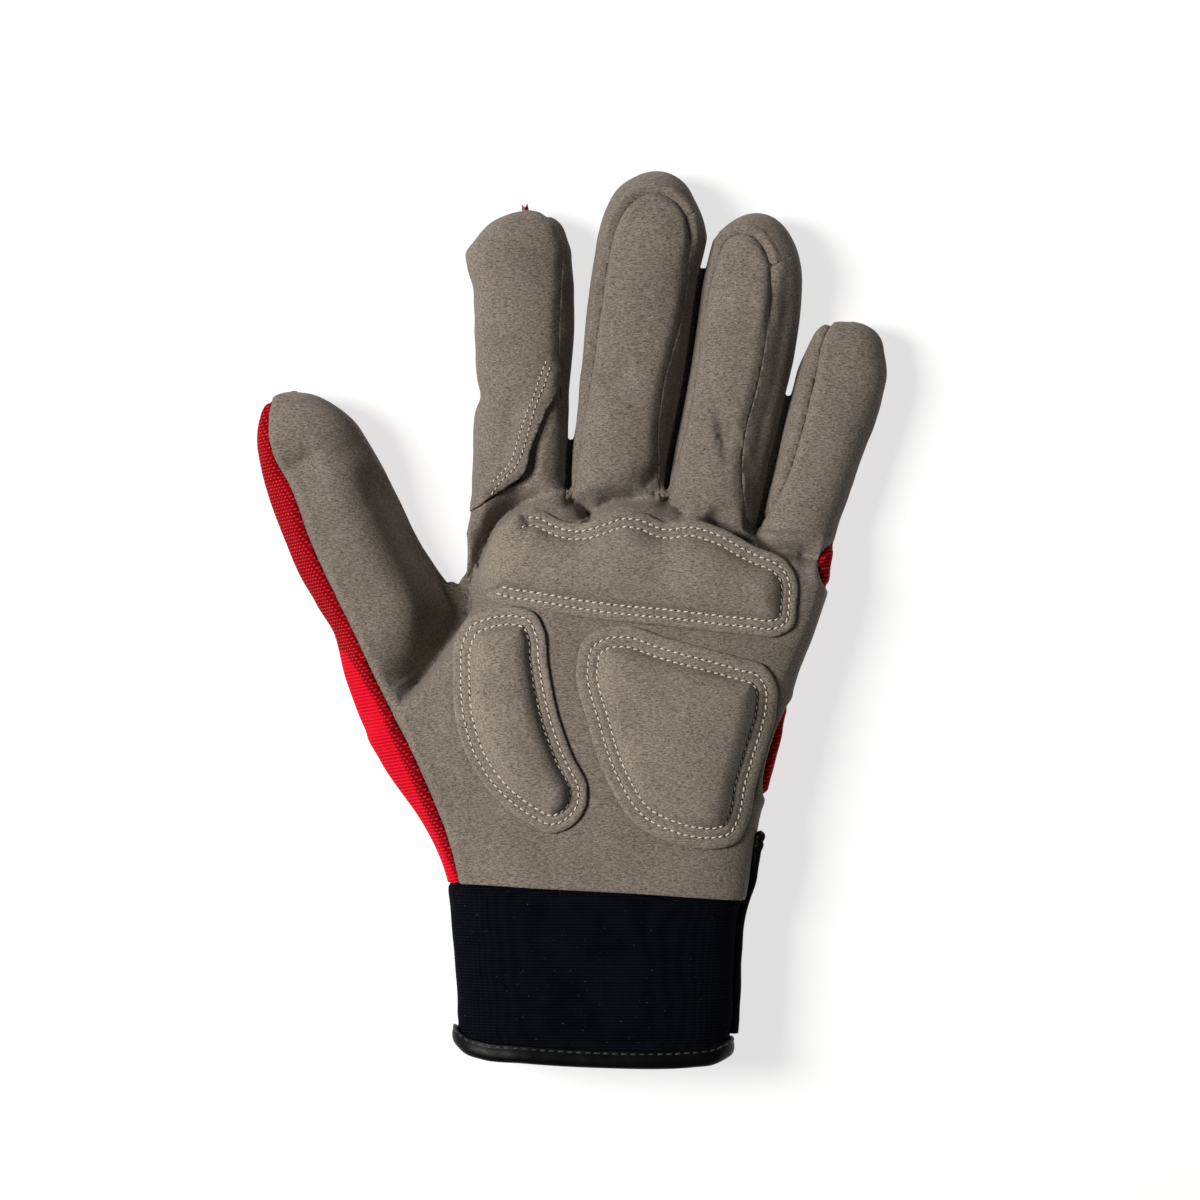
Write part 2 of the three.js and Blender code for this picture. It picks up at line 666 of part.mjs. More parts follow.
function topOf({ sections, corner }, x, y) {
  const next = sections.findIndex((section) => section.y > y);
  if (next < 1) return 0;
  const low = sections[next - 1];
  const high = sections[next];
  const share = (y - low.y) / (high.y - low.y);
  const blend = (key) => THREE.MathUtils.lerp(low[key], high[key], share);
  const out = Math.min(Math.abs(x - blend('x')) / blend('half'), 1);
  const middle = (blend('top') + blend('bottom')) / 2;
  return middle + (blend('top') - middle) * (1 - out ** corner) ** (1 / corner);
}

function surfaceTop(x, y) {
  return Math.max(...SURFACES.map((surface) => topOf(surface, x, y)));
}

// A V-shaped groove along a fold, sunk in from above the surface.
function foldCutter(fold) {
  const digit = { index: INDEX, thumb: THUMB }[fold.on];
  const place = (end) => (digit ? onDigit(digit, end) : onPalm(end));
  const from = place(fold.from);
  const to = place(fold.to);
  const along = new THREE.Vector2(to.x - from.x, to.y - from.y).normalize();
  const width = fold.width * FOLD_WIDTH;
  const depth = fold.depth * FOLD_DEPTH;
  const rings = [];
  for (let step = 0; step <= FOLD_STEPS; step += 1) {
    const share = step / FOLD_STEPS;
    const taper = Math.sin(Math.PI * (0.08 + 0.84 * share));
    const x = THREE.MathUtils.lerp(from.x, to.x, share);
    const y = THREE.MathUtils.lerp(from.y, to.y, share);
    const z = surfaceTop(x, y);
    const sideX = along.y * width * taper / 2;
    const sideY = -along.x * width * taper / 2;
    rings.push([
      new THREE.Vector3(x + sideX, y + sideY, z + depth / 2),
      new THREE.Vector3(x, y, z + 2 * depth),
      new THREE.Vector3(x - sideX, y - sideY, z + depth / 2),
      new THREE.Vector3(x, y, z - depth * taper),
    ]);
  }
  const centre = (ring) => ring[0].clone().add(ring[2]).multiplyScalar(0.5);
  return toSolid(skin(rings, centre(rings[0]), centre(rings.at(-1))));
}

// The hand as one hollow shell, open at the wrist

const FAR = PALM_LENGTH + CUFF_LENGTH + MIDDLE.length;
const wristLine = WRIST_LINE.map(({ across, rise }) => ({
  x: onPalm({ at: rise, across: 0 }).x + across * WRIST_WIDTH,
  y: rise * PALM_LENGTH,
}));

function beyondLine(line, side, shift) {
  const moved = line.map((point) => ({ x: point.x, y: point.y + shift }));
  const ends = [{ x: FAR, y: moved.at(-1).y }, { x: FAR, y: side * FAR }];
  const starts = [{ x: -FAR, y: side * FAR }, { x: -FAR, y: moved[0].y }];
  return prism([...moved, ...ends, ...starts], -FAR, FAR);
}

const floorCut = block(new THREE.Vector3(-FAR, -FAR, -FAR), new THREE.Vector3(FAR, FAR, 0));
const handShell = handForm(0)
  .subtract(floorCut)
  .subtract(handForm(WALL))
  .subtract(beyondLine(wristLine, -1, 0))
  .subtract(join(FOLDS.map(foldCutter)));

// Regions of the upper half, bounded by the seams

const line = {
  indexSide: INDEX_SIDE_SEAM.map((point) => onDigit(INDEX, point)),
  indexLap: INDEX_LAP_SEAM.map((point) => onDigit(INDEX, point)),
  middleLeft: MIDDLE_LEFT_SEAM.map((point) => onDigit(MIDDLE, point)),
  middleRight: MIDDLE_RIGHT_SEAM.map((point) => onDigit(MIDDLE, point)),
  ringLeft: RING_LEFT_SEAM.map((point) => onDigit(RING, point)),
  ringRight: RING_RIGHT_SEAM.map((point) => onDigit(RING, point)),
  littleLeft: LITTLE_LEFT_SEAM.map((point) => onDigit(LITTLE, point)),
  thumbBack: [
    ...THUMB_BACK_SEAM.map((point) => onDigit(THUMB, point)),
    ...PALM_BACK_SEAM.map(onPalm),
  ],
  upperPeek: UPPER_PEEK_SEAM.map(onPalm),
  lowerPeek: LOWER_PEEK_SEAM.map(onPalm),
};

// The foot of each crotch: a point between two fingers, a web's depth below where they part.
function crotch(leftEnd, rightEnd, at) {
  return { x: (leftEnd.x + rightEnd.x) / 2, y: at * PALM_LENGTH - CROTCH_WEB };
}

const crotches = [
  crotch(line.indexSide.at(-1), line.middleLeft[0], 1),
  crotch(line.middleRight.at(-1), line.ringLeft[0], 1),
  crotch(line.ringRight.at(-1), line.littleLeft[0], LITTLE_CROTCH),
];
line.indexMiddle = [...line.indexSide, crotches[0], ...line.middleLeft];
line.middleRing = [...line.middleRight, crotches[1], ...line.ringLeft];
line.ringLittle = [...line.ringRight, crotches[2], ...line.littleLeft];

// Where one side wall ends and the next begins, past a fingertip.
const middleSplit = [line.middleRight[0], onDigit(MIDDLE, { at: 0.95, across: 0.75 })];
const ringSplit = [line.ringRight[0], onDigit(RING, { at: 0.92, across: 0.75 })];

const region = {
  indexPanel: [
    ...line.indexLap,
    ...line.indexSide.filter((point) => point.y > line.indexLap.at(-1).y).reverse(),
    onDigit(INDEX, { at: 1.06, across: -0.7 }),
  ],
  indexMiddle: [
    ...line.indexMiddle,
    middleSplit[1],
    onDigit(MIDDLE, { at: 1.1, across: 0.6 }),
    onDigit(MIDDLE, { at: 1.1, across: -0.6 }),
  ],
  middleRing: [
    ...line.middleRing,
    ringSplit[1],
    onDigit(RING, { at: 1.1, across: 0.6 }),
    onDigit(RING, { at: 1.1, across: -0.5 }),
    middleSplit[1],
  ],
  ringLittle: [
    ...line.ringLittle,
    ringSplit[1],
  ],
  leftBack: [
    ...line.thumbBack,
    { x: -FAR, y: line.thumbBack.at(-1).y },
    { x: -FAR, y: line.thumbBack[0].y },
  ],
  upperPeek: line.upperPeek,
  lowerPeek: line.lowerPeek,
};

const prisms = {};
Object.keys(region).forEach((name) => {
  prisms[name] = prism(region[name], 0, TALLEST);
});
const frontSlots = join(
  [line.indexLap, line.indexMiddle, line.middleRing, line.ringLittle, middleSplit, ringSplit]
    .map((path) => seamSlot(path, SEAM_HEIGHT, TALLEST)),
);
const backSlots = join(
  [line.thumbBack, line.upperPeek, line.lowerPeek].map((path) => seamSlot(path, SEAM_HEIGHT, TALLEST)),
);
const aboveSeam = block(new THREE.Vector3(-FAR, -FAR, SEAM_HEIGHT), new THREE.Vector3(FAR, FAR, FAR));
const belowGap = block(new THREE.Vector3(-FAR, -FAR, -FAR), new THREE.Vector3(FAR, FAR, SEAM_HEIGHT + GAP));

const backRegions = join([prisms.leftBack, prisms.upperPeek, prisms.lowerPeek]);
const sideRegions = join([prisms.indexMiddle, prisms.middleRing, prisms.ringLittle]);
const upperShell = handShell.subtract(belowGap).subtract(backRegions).subtract(join([frontSlots, backSlots]));

// Edge binding down the little-finger side, from its nub on the palm to the cuff's mouth

const mouthLine = MOUTH_LINE.map(({ across, along }) => ({
  x: onCuff({ at: along, across: 0 }).x + across * (CUFF_MOUTH_WIDTH + 2 * BINDING_THICKNESS),
  y: -along * CUFF_LENGTH,
}));

function rightEdge(y) {
  const sections = y > 0 ? palmSections() : cuffSections();
  const next = sections.findIndex((section) => section.y > y);
  const low = sections[next - 1];
  const high = sections[next];
  const share = (y - low.y) / (high.y - low.y);
  return THREE.MathUtils.lerp(low.x + low.half, high.x + high.half, share);
}

function pipingLoft(inset) {
  const height = CUFF_LIFT + PIPING_HEIGHT * CUFF_DEPTH;
  const end = mouthLine.at(-1).y + BINDING_WIDTH + 2 * GAP;
  const rows = [...PIPING_ROWS, { at: end / CUFF_LENGTH, thick: 1.0 }];
  const sections = rows.map((row) => {
    const radius = row.thick * PIPING_DIAMETER / 2;
    const y = row.at * (row.at > 0 ? PALM_LENGTH : CUFF_LENGTH);
    return { x: rightEdge(y) + PIPING_SEAT, y, half: radius, bottom: height - radius, top: height + radius };
  }).reverse();
  const first = sections[0];
  sections[0] = { ...first, y: first.y + inset };
  return loft(sections, inset, PIPING_SIDES, 2, sections.at(-1).y + PIPING_DIAMETER / 4);
}
const piping = pipingLoft(0);
const pipingSeat = pipingLoft(-GAP);

// Cuff, the binding of its mouth, and the closure strap

function cuffLoft(inset) {
  const sections = cuffSections();
  return loft(sections, inset, CUFF_SIDES, CUFF_CORNER, sections.at(-1).y);
}

function cuffRing(outwards, inwards) {
  const outer = cuffLoft(-outwards);
  const sections = cuffSections();
  const first = sections[0];
  sections[0] = { ...first, y: first.y - 2 * WALL };
  const last = sections.at(-1);
  sections[sections.length - 1] = { ...last, y: last.y + 2 * WALL };
  return outer.subtract(loft(sections, inwards, CUFF_SIDES, CUFF_CORNER, sections.at(-1).y));
}

const cuffSolid = cuffRing(0, CUFF_WALL)
  .subtract(beyondLine(wristLine, 1, -GAP))
  .subtract(beyondLine(mouthLine, -1, BINDING_THICKNESS))
  .subtract(pipingSeat);
const bindingSeat = cuffRing(GAP, CUFF_WALL + GAP)
  .subtract(beyondLine(mouthLine, -1, BINDING_THICKNESS - GAP));
const bindingSolid = cuffRing(BINDING_THICKNESS, CUFF_WALL + BINDING_THICKNESS)
  .subtract(beyondLine(mouthLine, -1, 0))
  .subtract(beyondLine(mouthLine, 1, BINDING_WIDTH))
  .subtract(bindingSeat);

const strapMiddle = mouthLine.at(-1).y + BINDING_WIDTH + 2 * GAP + STRAP_WIDTH / 2;
const strapBand = block(
  new THREE.Vector3(onCuff({ at: 0.5, across: 0.5 }).x - STRAP_REACH, strapMiddle - STRAP_WIDTH / 2, -SINK),
  new THREE.Vector3(FAR, strapMiddle + STRAP_WIDTH / 2, CUFF_LIFT + STRAP_WRAP * CUFF_DEPTH),
);
const strapSolid = cuffLoft(-GAP - STRAP_THICKNESS).subtract(cuffLoft(-GAP)).intersect(strapBand);

// Pads: a flat stitched flange round a padded middle, laid on the palm

const handClear = handForm(-GAP);

function onPad(pad, { across, up }) {
  const centre = onPalm(pad);
  return new THREE.Vector3(centre.x + across * pad.width, centre.y + up * pad.length, 0);
}

function padOutline(pad) {
  const points = pad.outline.map((point) => onPad(pad, point));
  const turning = THREE.ShapeUtils.area(points) > 0 ? points.reverse() : points;
  const curve = new THREE.CatmullRomCurve3(turning, true, 'centripetal');
  return curve.getPoints(Math.round(PAD_SPLITS * points.length)).slice(0, -1);
}

function padSolid(pad) {
  const outline = padOutline(pad);
  const spine = new THREE.Line3(onPad(pad, pad.spine.from), onPad(pad, pad.spine.to));
  const centre = spine.getCenter(new THREE.Vector3());
  const pull = (point, distance) => {
    const target = spine.closestPointToPoint(point, true, new THREE.Vector3());
    const share = Math.min(distance / point.distanceTo(target), PAD_PULL_MOST);
    return point.clone().lerp(target, share);
  };
  const raise = (point, height) => {
    const z = surfaceTop(point.x, point.y) + height;
    return new THREE.Vector3(point.x, point.y, z);
  };
  const rings = [
    outline.map((point) => raise(point, -PAD_DEPTH)),
    outline.map((point) => raise(point, GAP + PAD_CLOTH)),
    ...PAD_PROFILE.map((row) => {
      const distance = row.flat * PAD_FLANGE + row.shoulder * PAD_SHOULDER;
      return outline.map((point) => raise(pull(point, distance), GAP + PAD_CLOTH + row.rise * pad.bulge));
    }),
  ];
  const under = raise(centre, -PAD_DEPTH);
  const crown = raise(centre, GAP + PAD_CLOTH + pad.bulge);
  return toSolid(skin(rings, under, crown)).subtract(handClear);
}

// Pieces

const SUEDE = { color: 0x7d7168, roughness: 0.95, metalness: 0 };
const PAD_SUEDE = { color: 0x8b7f74, roughness: 0.95, metalness: 0 };
const RED_CLOTH = { color: 0xc4152a, roughness: 0.85, metalness: 0 };
const NEOPRENE = { color: 0x14141a, roughness: 0.8, metalness: 0 };
const BINDING = { color: 0x1d1d22, roughness: 0.55, metalness: 0 };

const pieces = {
  palm_panel: {
    solid: largestBody(upperShell.subtract(join([sideRegions, prisms.indexPanel])).subtract(pipingSeat)),
    look: SUEDE,
  },
  index_panel: {
    solid: largestBody(upperShell.intersect(prisms.indexPanel).subtract(sideRegions)),
    look: SUEDE,
  },
  fourchette_index_middle: {
    solid: largestBody(upperShell.intersect(prisms.indexMiddle)),
    look: SUEDE,
  },
  fourchette_middle_ring: {
    solid: largestBody(upperShell.intersect(prisms.middleRing).subtract(prisms.indexMiddle)),
    look: SUEDE,
  },
  fourchette_ring_little: {
    solid: largestBody(upperShell.intersect(prisms.ringLittle).subtract(prisms.middleRing)),
    look: SUEDE,
  },
  back_panel: {
    solid: largestBody(handShell.subtract(aboveSeam.subtract(backRegions)).subtract(backSlots)),
    look: RED_CLOTH,
  },
  knuckle_pad: { solid: padSolid(KNUCKLE_PAD), look: PAD_SUEDE },
  thenar_pad: { solid: padSolid(THENAR_PAD), look: PAD_SUEDE },
  heel_pad: { solid: padSolid(HEEL_PAD), look: PAD_SUEDE },
  cuff: { solid: cuffSolid, look: NEOPRENE },
  cuff_binding: { solid: bindingSolid, look: BINDING },
  side_binding: { solid: piping, look: BINDING },
  closure_strap: { solid: strapSolid, look: NEOPRENE },
};

const glove = new THREE.Group();
Object.entries(pieces).forEach(([name, { solid, look }]) => {
  const mesh = new THREE.Mesh(toGeometry(solid), new THREE.MeshStandardMaterial(look));
  mesh.name = name;
  glove.add(mesh);
});

// The origin is the bottom centre of the glove's box.
const bounds = new THREE.Box3().setFromObject(glove);
const boundsMiddle = bounds.getCenter(new THREE.Vector3());
glove.position.set(-boundsMiddle.x, -boundsMiddle.y, -bounds.min.z);

export default glove;
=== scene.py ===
# Padded work glove, palm up: its looks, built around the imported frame.
# Shapes are worked out in millimetres on the palm's axes and moved to the frame at the end.

import math

import bpy
import numpy as np
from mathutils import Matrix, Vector
from mathutils.bvhtree import BVHTree
from mathutils.kdtree import KDTree


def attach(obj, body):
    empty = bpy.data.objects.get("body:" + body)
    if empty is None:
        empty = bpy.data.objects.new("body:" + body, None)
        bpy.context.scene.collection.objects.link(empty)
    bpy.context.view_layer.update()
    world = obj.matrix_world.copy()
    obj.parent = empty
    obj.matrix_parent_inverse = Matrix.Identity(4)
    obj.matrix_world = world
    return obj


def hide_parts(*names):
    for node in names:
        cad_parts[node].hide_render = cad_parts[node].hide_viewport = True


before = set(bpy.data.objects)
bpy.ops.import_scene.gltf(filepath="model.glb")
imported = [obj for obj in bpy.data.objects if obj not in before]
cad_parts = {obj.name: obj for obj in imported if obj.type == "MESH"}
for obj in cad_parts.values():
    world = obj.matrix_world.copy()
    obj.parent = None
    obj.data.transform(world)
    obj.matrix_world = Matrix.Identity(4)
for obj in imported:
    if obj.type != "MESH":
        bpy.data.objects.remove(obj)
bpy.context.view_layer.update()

MM = 0.001
# From the palm's own axes to the frame, whose origin is the bottom centre of the glove's box.
TO_FRAME = np.array([7.738, -75.295, 0.0])

# Sizes
WALL = 1.5
FINGER_GAP = 0.6
SEAM_HEIGHT = 10.0
FACING_SEAM_HEIGHT = 3.2
SEAM_DROP = SEAM_HEIGHT - FACING_SEAM_HEIGHT
SINK = 0.8
REST_HEIGHT = 0.1

WRIST_WIDTH = 83.2
PALM_LENGTH = 109.2
PALM_DEPTH = 30.0
PALM_LEAN = 0.158
KNUCKLE_WIDTH = 105.7

CUFF_LENGTH = 48.4
CUFF_MOUTH_WIDTH = 75.6
CUFF_DEPTH = 28.7
CUFF_WALL = 2.6
CUFF_LEAN = 0.037
CUFF_LIFT = 2.3
BINDING_THICKNESS = 1.2
PIPING_DIAMETER = 2.6
PIPING_HEIGHT = 0.58
STRAP_WIDTH = 34.0
STRAP_THICKNESS = 2.0
STRAP_REACH = 62.0
STRAP_WRAP = 0.36

DIGIT_CORNER = 2.4
PALM_CORNER = 3.2
CUFF_CORNER = 3.0

SHEET_STEP = 0.86
PAD_STEP = 0.55

# Digits: length from the base line, width, depth, lean of the axis, and how softly it joins the palm.
# Rows: share of the length, shift and half width (shares of the width), underside and top (of the depth).
INDEX = {
    "length": 80.1, "width": 28.3, "depth": 22.0, "lean": -0.02, "blend": 6.0,
    "rows": (
        (-0.480, 0.060, 0.320, 0.36, 0.92),
        (-0.300, -0.045, 0.470, 0.16, 1.02),
        (-0.122, -0.037, 0.485, 0.03, 1.03),
        (0.000, 0.000, 0.475, 0.00, 1.00),
        (0.192, 0.013, 0.473, 0.00, 1.00),
        (0.290, 0.026, 0.465, 0.00, 0.99),
        (0.353, 0.057, 0.433, 0.00, 0.98),
        (0.416, 0.051, 0.458, 0.00, 0.99),
        (0.559, 0.066, 0.495, 0.00, 0.99),
        (0.717, 0.070, 0.505, 0.00, 1.00),
        (0.801, 0.038, 0.522, 0.00, 0.97),
        (0.843, 0.028, 0.525, 0.00, 0.96),
        (0.899, 0.063, 0.453, 0.04, 0.91),
        (0.955, 0.104, 0.347, 0.12, 0.80),
        (0.986, 0.130, 0.193, 0.24, 0.66),
        (1.000, 0.130, 0.000, 0.45, 0.45),
    ),
}
MIDDLE = {
    "length": 91.0, "width": 31.4, "depth": 24.0, "lean": 0.117, "blend": 6.0,
    "rows": (
        (-0.246, 0.093, 0.393, 0.10, 1.02),
        (-0.108, 0.037, 0.402, 0.04, 1.01),
        (0.000, 0.000, 0.420, 0.00, 0.97),
        (0.102, -0.014, 0.435, 0.00, 0.99),
        (0.182, -0.006, 0.444, 0.00, 0.99),
        (0.255, 0.016, 0.442, 0.00, 1.00),
        (0.385, 0.021, 0.464, 0.00, 1.00),
        (0.523, 0.017, 0.475, 0.00, 1.00),
        (0.662, 0.023, 0.484, 0.00, 0.99),
        (0.769, 0.047, 0.496, 0.00, 0.98),
        (0.846, 0.030, 0.455, 0.02, 0.95),
        (0.908, 0.009, 0.379, 0.07, 0.88),
        (0.957, 0.003, 0.288, 0.14, 0.79),
        (0.988, 0.008, 0.156, 0.25, 0.66),
        (1.000, 0.008, 0.000, 0.45, 0.45),
    ),
}
RING = {
    "length": 79.0, "width": 29.3, "depth": 23.0, "lean": 0.163, "blend": 6.0,
    "rows": (
        (-0.284, 0.003, 0.407, 0.10, 1.02),
        (-0.124, -0.008, 0.443, 0.04, 1.01),
        (0.000, 0.000, 0.467, 0.00, 0.97),
        (0.117, 0.001, 0.481, 0.00, 0.99),
        (0.266, 0.022, 0.486, 0.00, 1.00),
        (0.408, 0.043, 0.498, 0.00, 1.00),
        (0.567, 0.047, 0.505, 0.00, 0.99),
        (0.727, 0.027, 0.498, 0.00, 0.98),
        (0.826, 0.000, 0.462, 0.02, 0.95),
        (0.894, -0.029, 0.404, 0.06, 0.89),
        (0.943, -0.037, 0.313, 0.12, 0.82),
        (0.980, -0.037, 0.191, 0.24, 0.68),
        (1.000, -0.037, 0.000, 0.45, 0.45),
    ),
}
LITTLE = {
    "length": 49.6, "width": 26.3, "depth": 20.0, "lean": 0.249, "blend": 6.0,
    "rows": (
        (-1.050, -0.020, 0.300, 0.42, 1.02),
        (-0.537, 0.052, 0.415, 0.14, 1.06),
        (-0.282, -0.011, 0.407, 0.03, 1.02),
        (-0.113, -0.011, 0.423, 0.01, 1.01),
        (0.000, 0.000, 0.444, 0.00, 1.00),
        (0.198, 0.014, 0.460, 0.00, 1.00),
        (0.401, 0.030, 0.487, 0.00, 1.00),
        (0.548, 0.036, 0.497, 0.00, 1.00),
        (0.695, 0.036, 0.487, 0.00, 0.98),
        (0.808, 0.017, 0.436, 0.02, 0.94),
        (0.887, -0.004, 0.383, 0.07, 0.89),
        (0.949, -0.038, 0.298, 0.14, 0.81),
        (0.983, -0.054, 0.186, 0.25, 0.67),
        (1.000, -0.054, 0.000, 0.45, 0.45),
    ),
}
THUMB = {
    "length": 59.4, "width": 36.4, "depth": 25.0, "lean": -0.48, "blend": 5.5,
    "rows": (
        (-1.060, -0.290, 0.180, 0.44, 0.72),
        (-0.887, -0.313, 0.281, 0.24, 0.84),
        (-0.651, -0.313, 0.350, 0.08, 0.92),
        (-0.462, -0.289, 0.365, 0.04, 0.96),
        (-0.311, -0.201, 0.412, 0.00, 1.00),
        (-0.160, -0.083, 0.465, 0.00, 1.02),
        (0.000, 0.000, 0.562, 0.00, 1.03),
        (0.113, -0.034, 0.546, 0.00, 1.03),
        (0.269, -0.063, 0.512, 0.00, 1.00),
        (0.458, -0.061, 0.500, 0.00, 0.98),
        (0.632, -0.038, 0.467, 0.00, 0.97),
        (0.764, -0.010, 0.419, 0.02, 0.94),
        (0.858, 0.024, 0.360, 0.06, 0.88),
        (0.929, 0.037, 0.267, 0.12, 0.80),
        (0.976, 0.041, 0.162, 0.24, 0.68),
        (1.000, 0.041, 0.000, 0.45, 0.45),
    ),
}
FINGERS = (INDEX, MIDDLE, RING, LITTLE)
DIGITS = FINGERS + (THUMB,)
THUMB_ROOT = (0.726, -0.717)

# Palm sections: share of the palm length, left and right edges (shares of its width there),
# share of the cuff's lift, top (share of the palm depth).
PALM_ROWS = (
    (-0.070, 0.493, 0.494, 1.0, 1.03),
    (0.000, 0.507, 0.503, 1.0, 1.03),
    (0.090, 0.552, 0.490, 0.5, 1.02),
    (0.167, 0.611, 0.484, 0.0, 1.01),
    (0.244, 0.679, 0.485, 0.0, 1.00),
    (0.321, 0.741, 0.489, 0.0, 1.00),
    (0.397, 0.784, 0.483, 0.0, 1.00),
    (0.474, 0.732, 0.481, 0.0, 0.99),
    (0.551, 0.636, 0.485, 0.0, 0.98),
    (0.628, 0.564, 0.501, 0.0, 0.96),
    (0.726, 0.515, 0.508, 0.0, 0.93),
    (0.808, 0.508, 0.502, 0.0, 0.89),
    (0.892, 0.505, 0.486, 0.0, 0.84),
    (0.913, 0.505, 0.260, 0.0, 0.82),
    (0.975, 0.502, 0.208, 0.0, 0.74),
    (1.000, 0.500, 0.206, 0.0, 0.64),
)
# Cuff sections: share of the cuff length from the wrist seam, left and right edges (shares of its width).
CUFF_ROWS = (
    (-0.12, 0.507, 0.503),
    (0.00, 0.507, 0.500),
    (0.10, 0.504, 0.486),
    (0.24, 0.503, 0.478),
    (0.40, 0.500, 0.482),
    (0.65, 0.497, 0.495),
    (1.10, 0.505, 0.505),
)
# Wrist seam: across (share of the wrist width), rise (share of the palm length).
WRIST_LINE = ((-0.70, 0.013), (-0.47, 0.011), (-0.20, 0.0), (0.15, -0.014), (0.46, -0.031), (0.70, -0.040))
# The cuff's mouth: across (share of the mouth width), along (share of the cuff length).
MOUTH_LINE = (
    (-0.56, 0.84), (-0.50, 0.90), (-0.46, 0.95), (-0.40, 0.98), (-0.25, 1.00),
    (0.03, 1.025), (0.36, 1.025), (0.43, 1.015), (0.48, 0.985), (0.56, 0.940),
)

# Seams: (share of the length, share of the width from the axis).
INDEX_SIDE_SEAM = (
    (1.060, 0.230), (0.997, 0.294), (0.951, 0.400), (0.874, 0.470), (0.724, 0.452), (0.531, 0.419),
    (0.395, 0.411), (0.227, 0.445), (0.087, 0.458), (-0.014, 0.462),
)
INDEX_LAP_SEAM = (
    (-0.070, -0.600), (-0.051, -0.478), (-0.016, -0.298), (0.019, -0.148), (0.052, 0.002), (0.089, 0.064),
    (0.159, 0.112), (0.222, 0.185), (0.292, 0.264), (0.341, 0.340), (0.395, 0.411),
)
# Two rows of stitches inside the index finger's lap.
LAP_ROWS = (
    (
        (0.470, 0.293), (0.417, 0.231), (0.341, 0.158), (0.281, 0.085), (0.222, 0.022), (0.173, -0.020),
        (0.113, -0.083), (0.071, -0.184), (0.029, -0.315),
    ),
    (
        (0.449, 0.332), (0.386, 0.269), (0.327, 0.196), (0.260, 0.133), (0.201, 0.085), (0.131, 0.017),
        (0.092, -0.045), (0.050, -0.176), (-0.002, -0.287),
    ),
)
MIDDLE_LEFT_SEAM = (
    (-0.020, -0.408), (0.135, -0.392), (0.369, -0.368), (0.637, -0.350), (0.735, -0.339), (0.822, -0.310),
    (0.883, -0.233), (0.920, -0.111), (0.930, -0.021), (0.923, 0.120), (0.895, 0.245), (0.855, 0.335),
)
MIDDLE_RIGHT_SEAM = (
    (0.855, 0.335), (0.803, 0.384), (0.702, 0.399), (0.569, 0.396), (0.437, 0.343), (0.335, 0.300),
    (0.200, 0.294), (0.102, 0.318), (-0.015, 0.400),
)
RING_LEFT_SEAM = (
    (-0.020, -0.448), (0.165, -0.408), (0.340, -0.382), (0.695, -0.394), (0.784, -0.381), (0.853, -0.358),
    (0.915, -0.290), (0.930, -0.177), (0.918, -0.052), (0.871, 0.087), (0.809, 0.174),
)
RING_RIGHT_SEAM = (
    (0.809, 0.174), (0.695, 0.224), (0.562, 0.235), (0.387, 0.230), (0.253, 0.192), (0.121, 0.198),
    (-0.011, 0.275), (-0.135, 0.385),
)
LITTLE_LEFT_SEAM = (
    (-0.215, -0.470), (-0.060, -0.372), (0.122, -0.283), (0.333, -0.255), (0.727, -0.265), (0.881, -0.285),
    (0.958, -0.254), (1.060, -0.100),
)
THUMB_BACK_SEAM = (
    (1.060, -0.150), (0.948, -0.181), (0.877, -0.256), (0.689, -0.353), (0.547, -0.333), (0.297, -0.375),
    (0.028, -0.386),
)
PALM_BACK_SEAM = ((0.479, -0.724), (0.326, -0.629), (0.164, -0.540), (0.010, -0.471), (-0.080, -0.429))
UPPER_PEEK_SEAM = ((0.869, 0.540), (0.869, 0.485), (0.838, 0.466), (0.772, 0.500), (0.750, 0.540))
LOWER_PEEK_SEAM = (
    (0.490, 0.540), (0.469, 0.484), (0.421, 0.471), (0.351, 0.465), (0.295, 0.465), (0.249, 0.474),
    (0.175, 0.540),
)
LITTLE_CROTCH = 0.913
CROTCH_WEB = 1.6

# Pads: centre on the palm, width, length, height of the padded middle, and the outline
# (shares of the width and length from the centre).
KNUCKLE_PAD = {
    "name": "knuckle_pad", "at": 0.801, "across": -0.032, "width": 88.6, "length": 35.0, "bulge": 3.1,
    "rows": (2.2, 4.5), "shoulder": 5.5, "bare": (-0.425, 0.175),
    "outline": (
        (-0.500, -0.028), (-0.482, -0.168), (-0.434, -0.236), (-0.333, -0.280), (-0.140, -0.362),
        (0.102, -0.423), (0.344, -0.489), (0.441, -0.500), (0.486, -0.436), (0.500, -0.260),
        (0.496, -0.020), (0.465, 0.097), (0.369, 0.210), (0.255, 0.364), (0.167, 0.424), (0.085, 0.404),
        (0.021, 0.474), (-0.048, 0.492), (-0.108, 0.444), (-0.174, 0.393), (-0.244, 0.420),
        (-0.298, 0.492), (-0.358, 0.500), (-0.427, 0.396), (-0.481, 0.156),
    ),
}
THENAR_PAD = {
    "name": "thenar_pad", "at": 0.427, "across": -0.317, "width": 37.2, "length": 62.5, "bulge": 3.5,
    "rows": (2.4, 4.8), "shoulder": 4.2,
    "outline": (
        (-0.485, 0.351), (-0.410, 0.441), (-0.229, 0.488), (-0.041, 0.500), (0.102, 0.477),
        (0.180, 0.401), (0.207, 0.262), (0.288, 0.020), (0.395, -0.159), (0.500, -0.289),
        (0.489, -0.388), (0.387, -0.469), (0.227, -0.500), (0.034, -0.446), (-0.202, -0.332),
        (-0.380, -0.177), (-0.481, 0.020), (-0.500, 0.194),
    ),
}
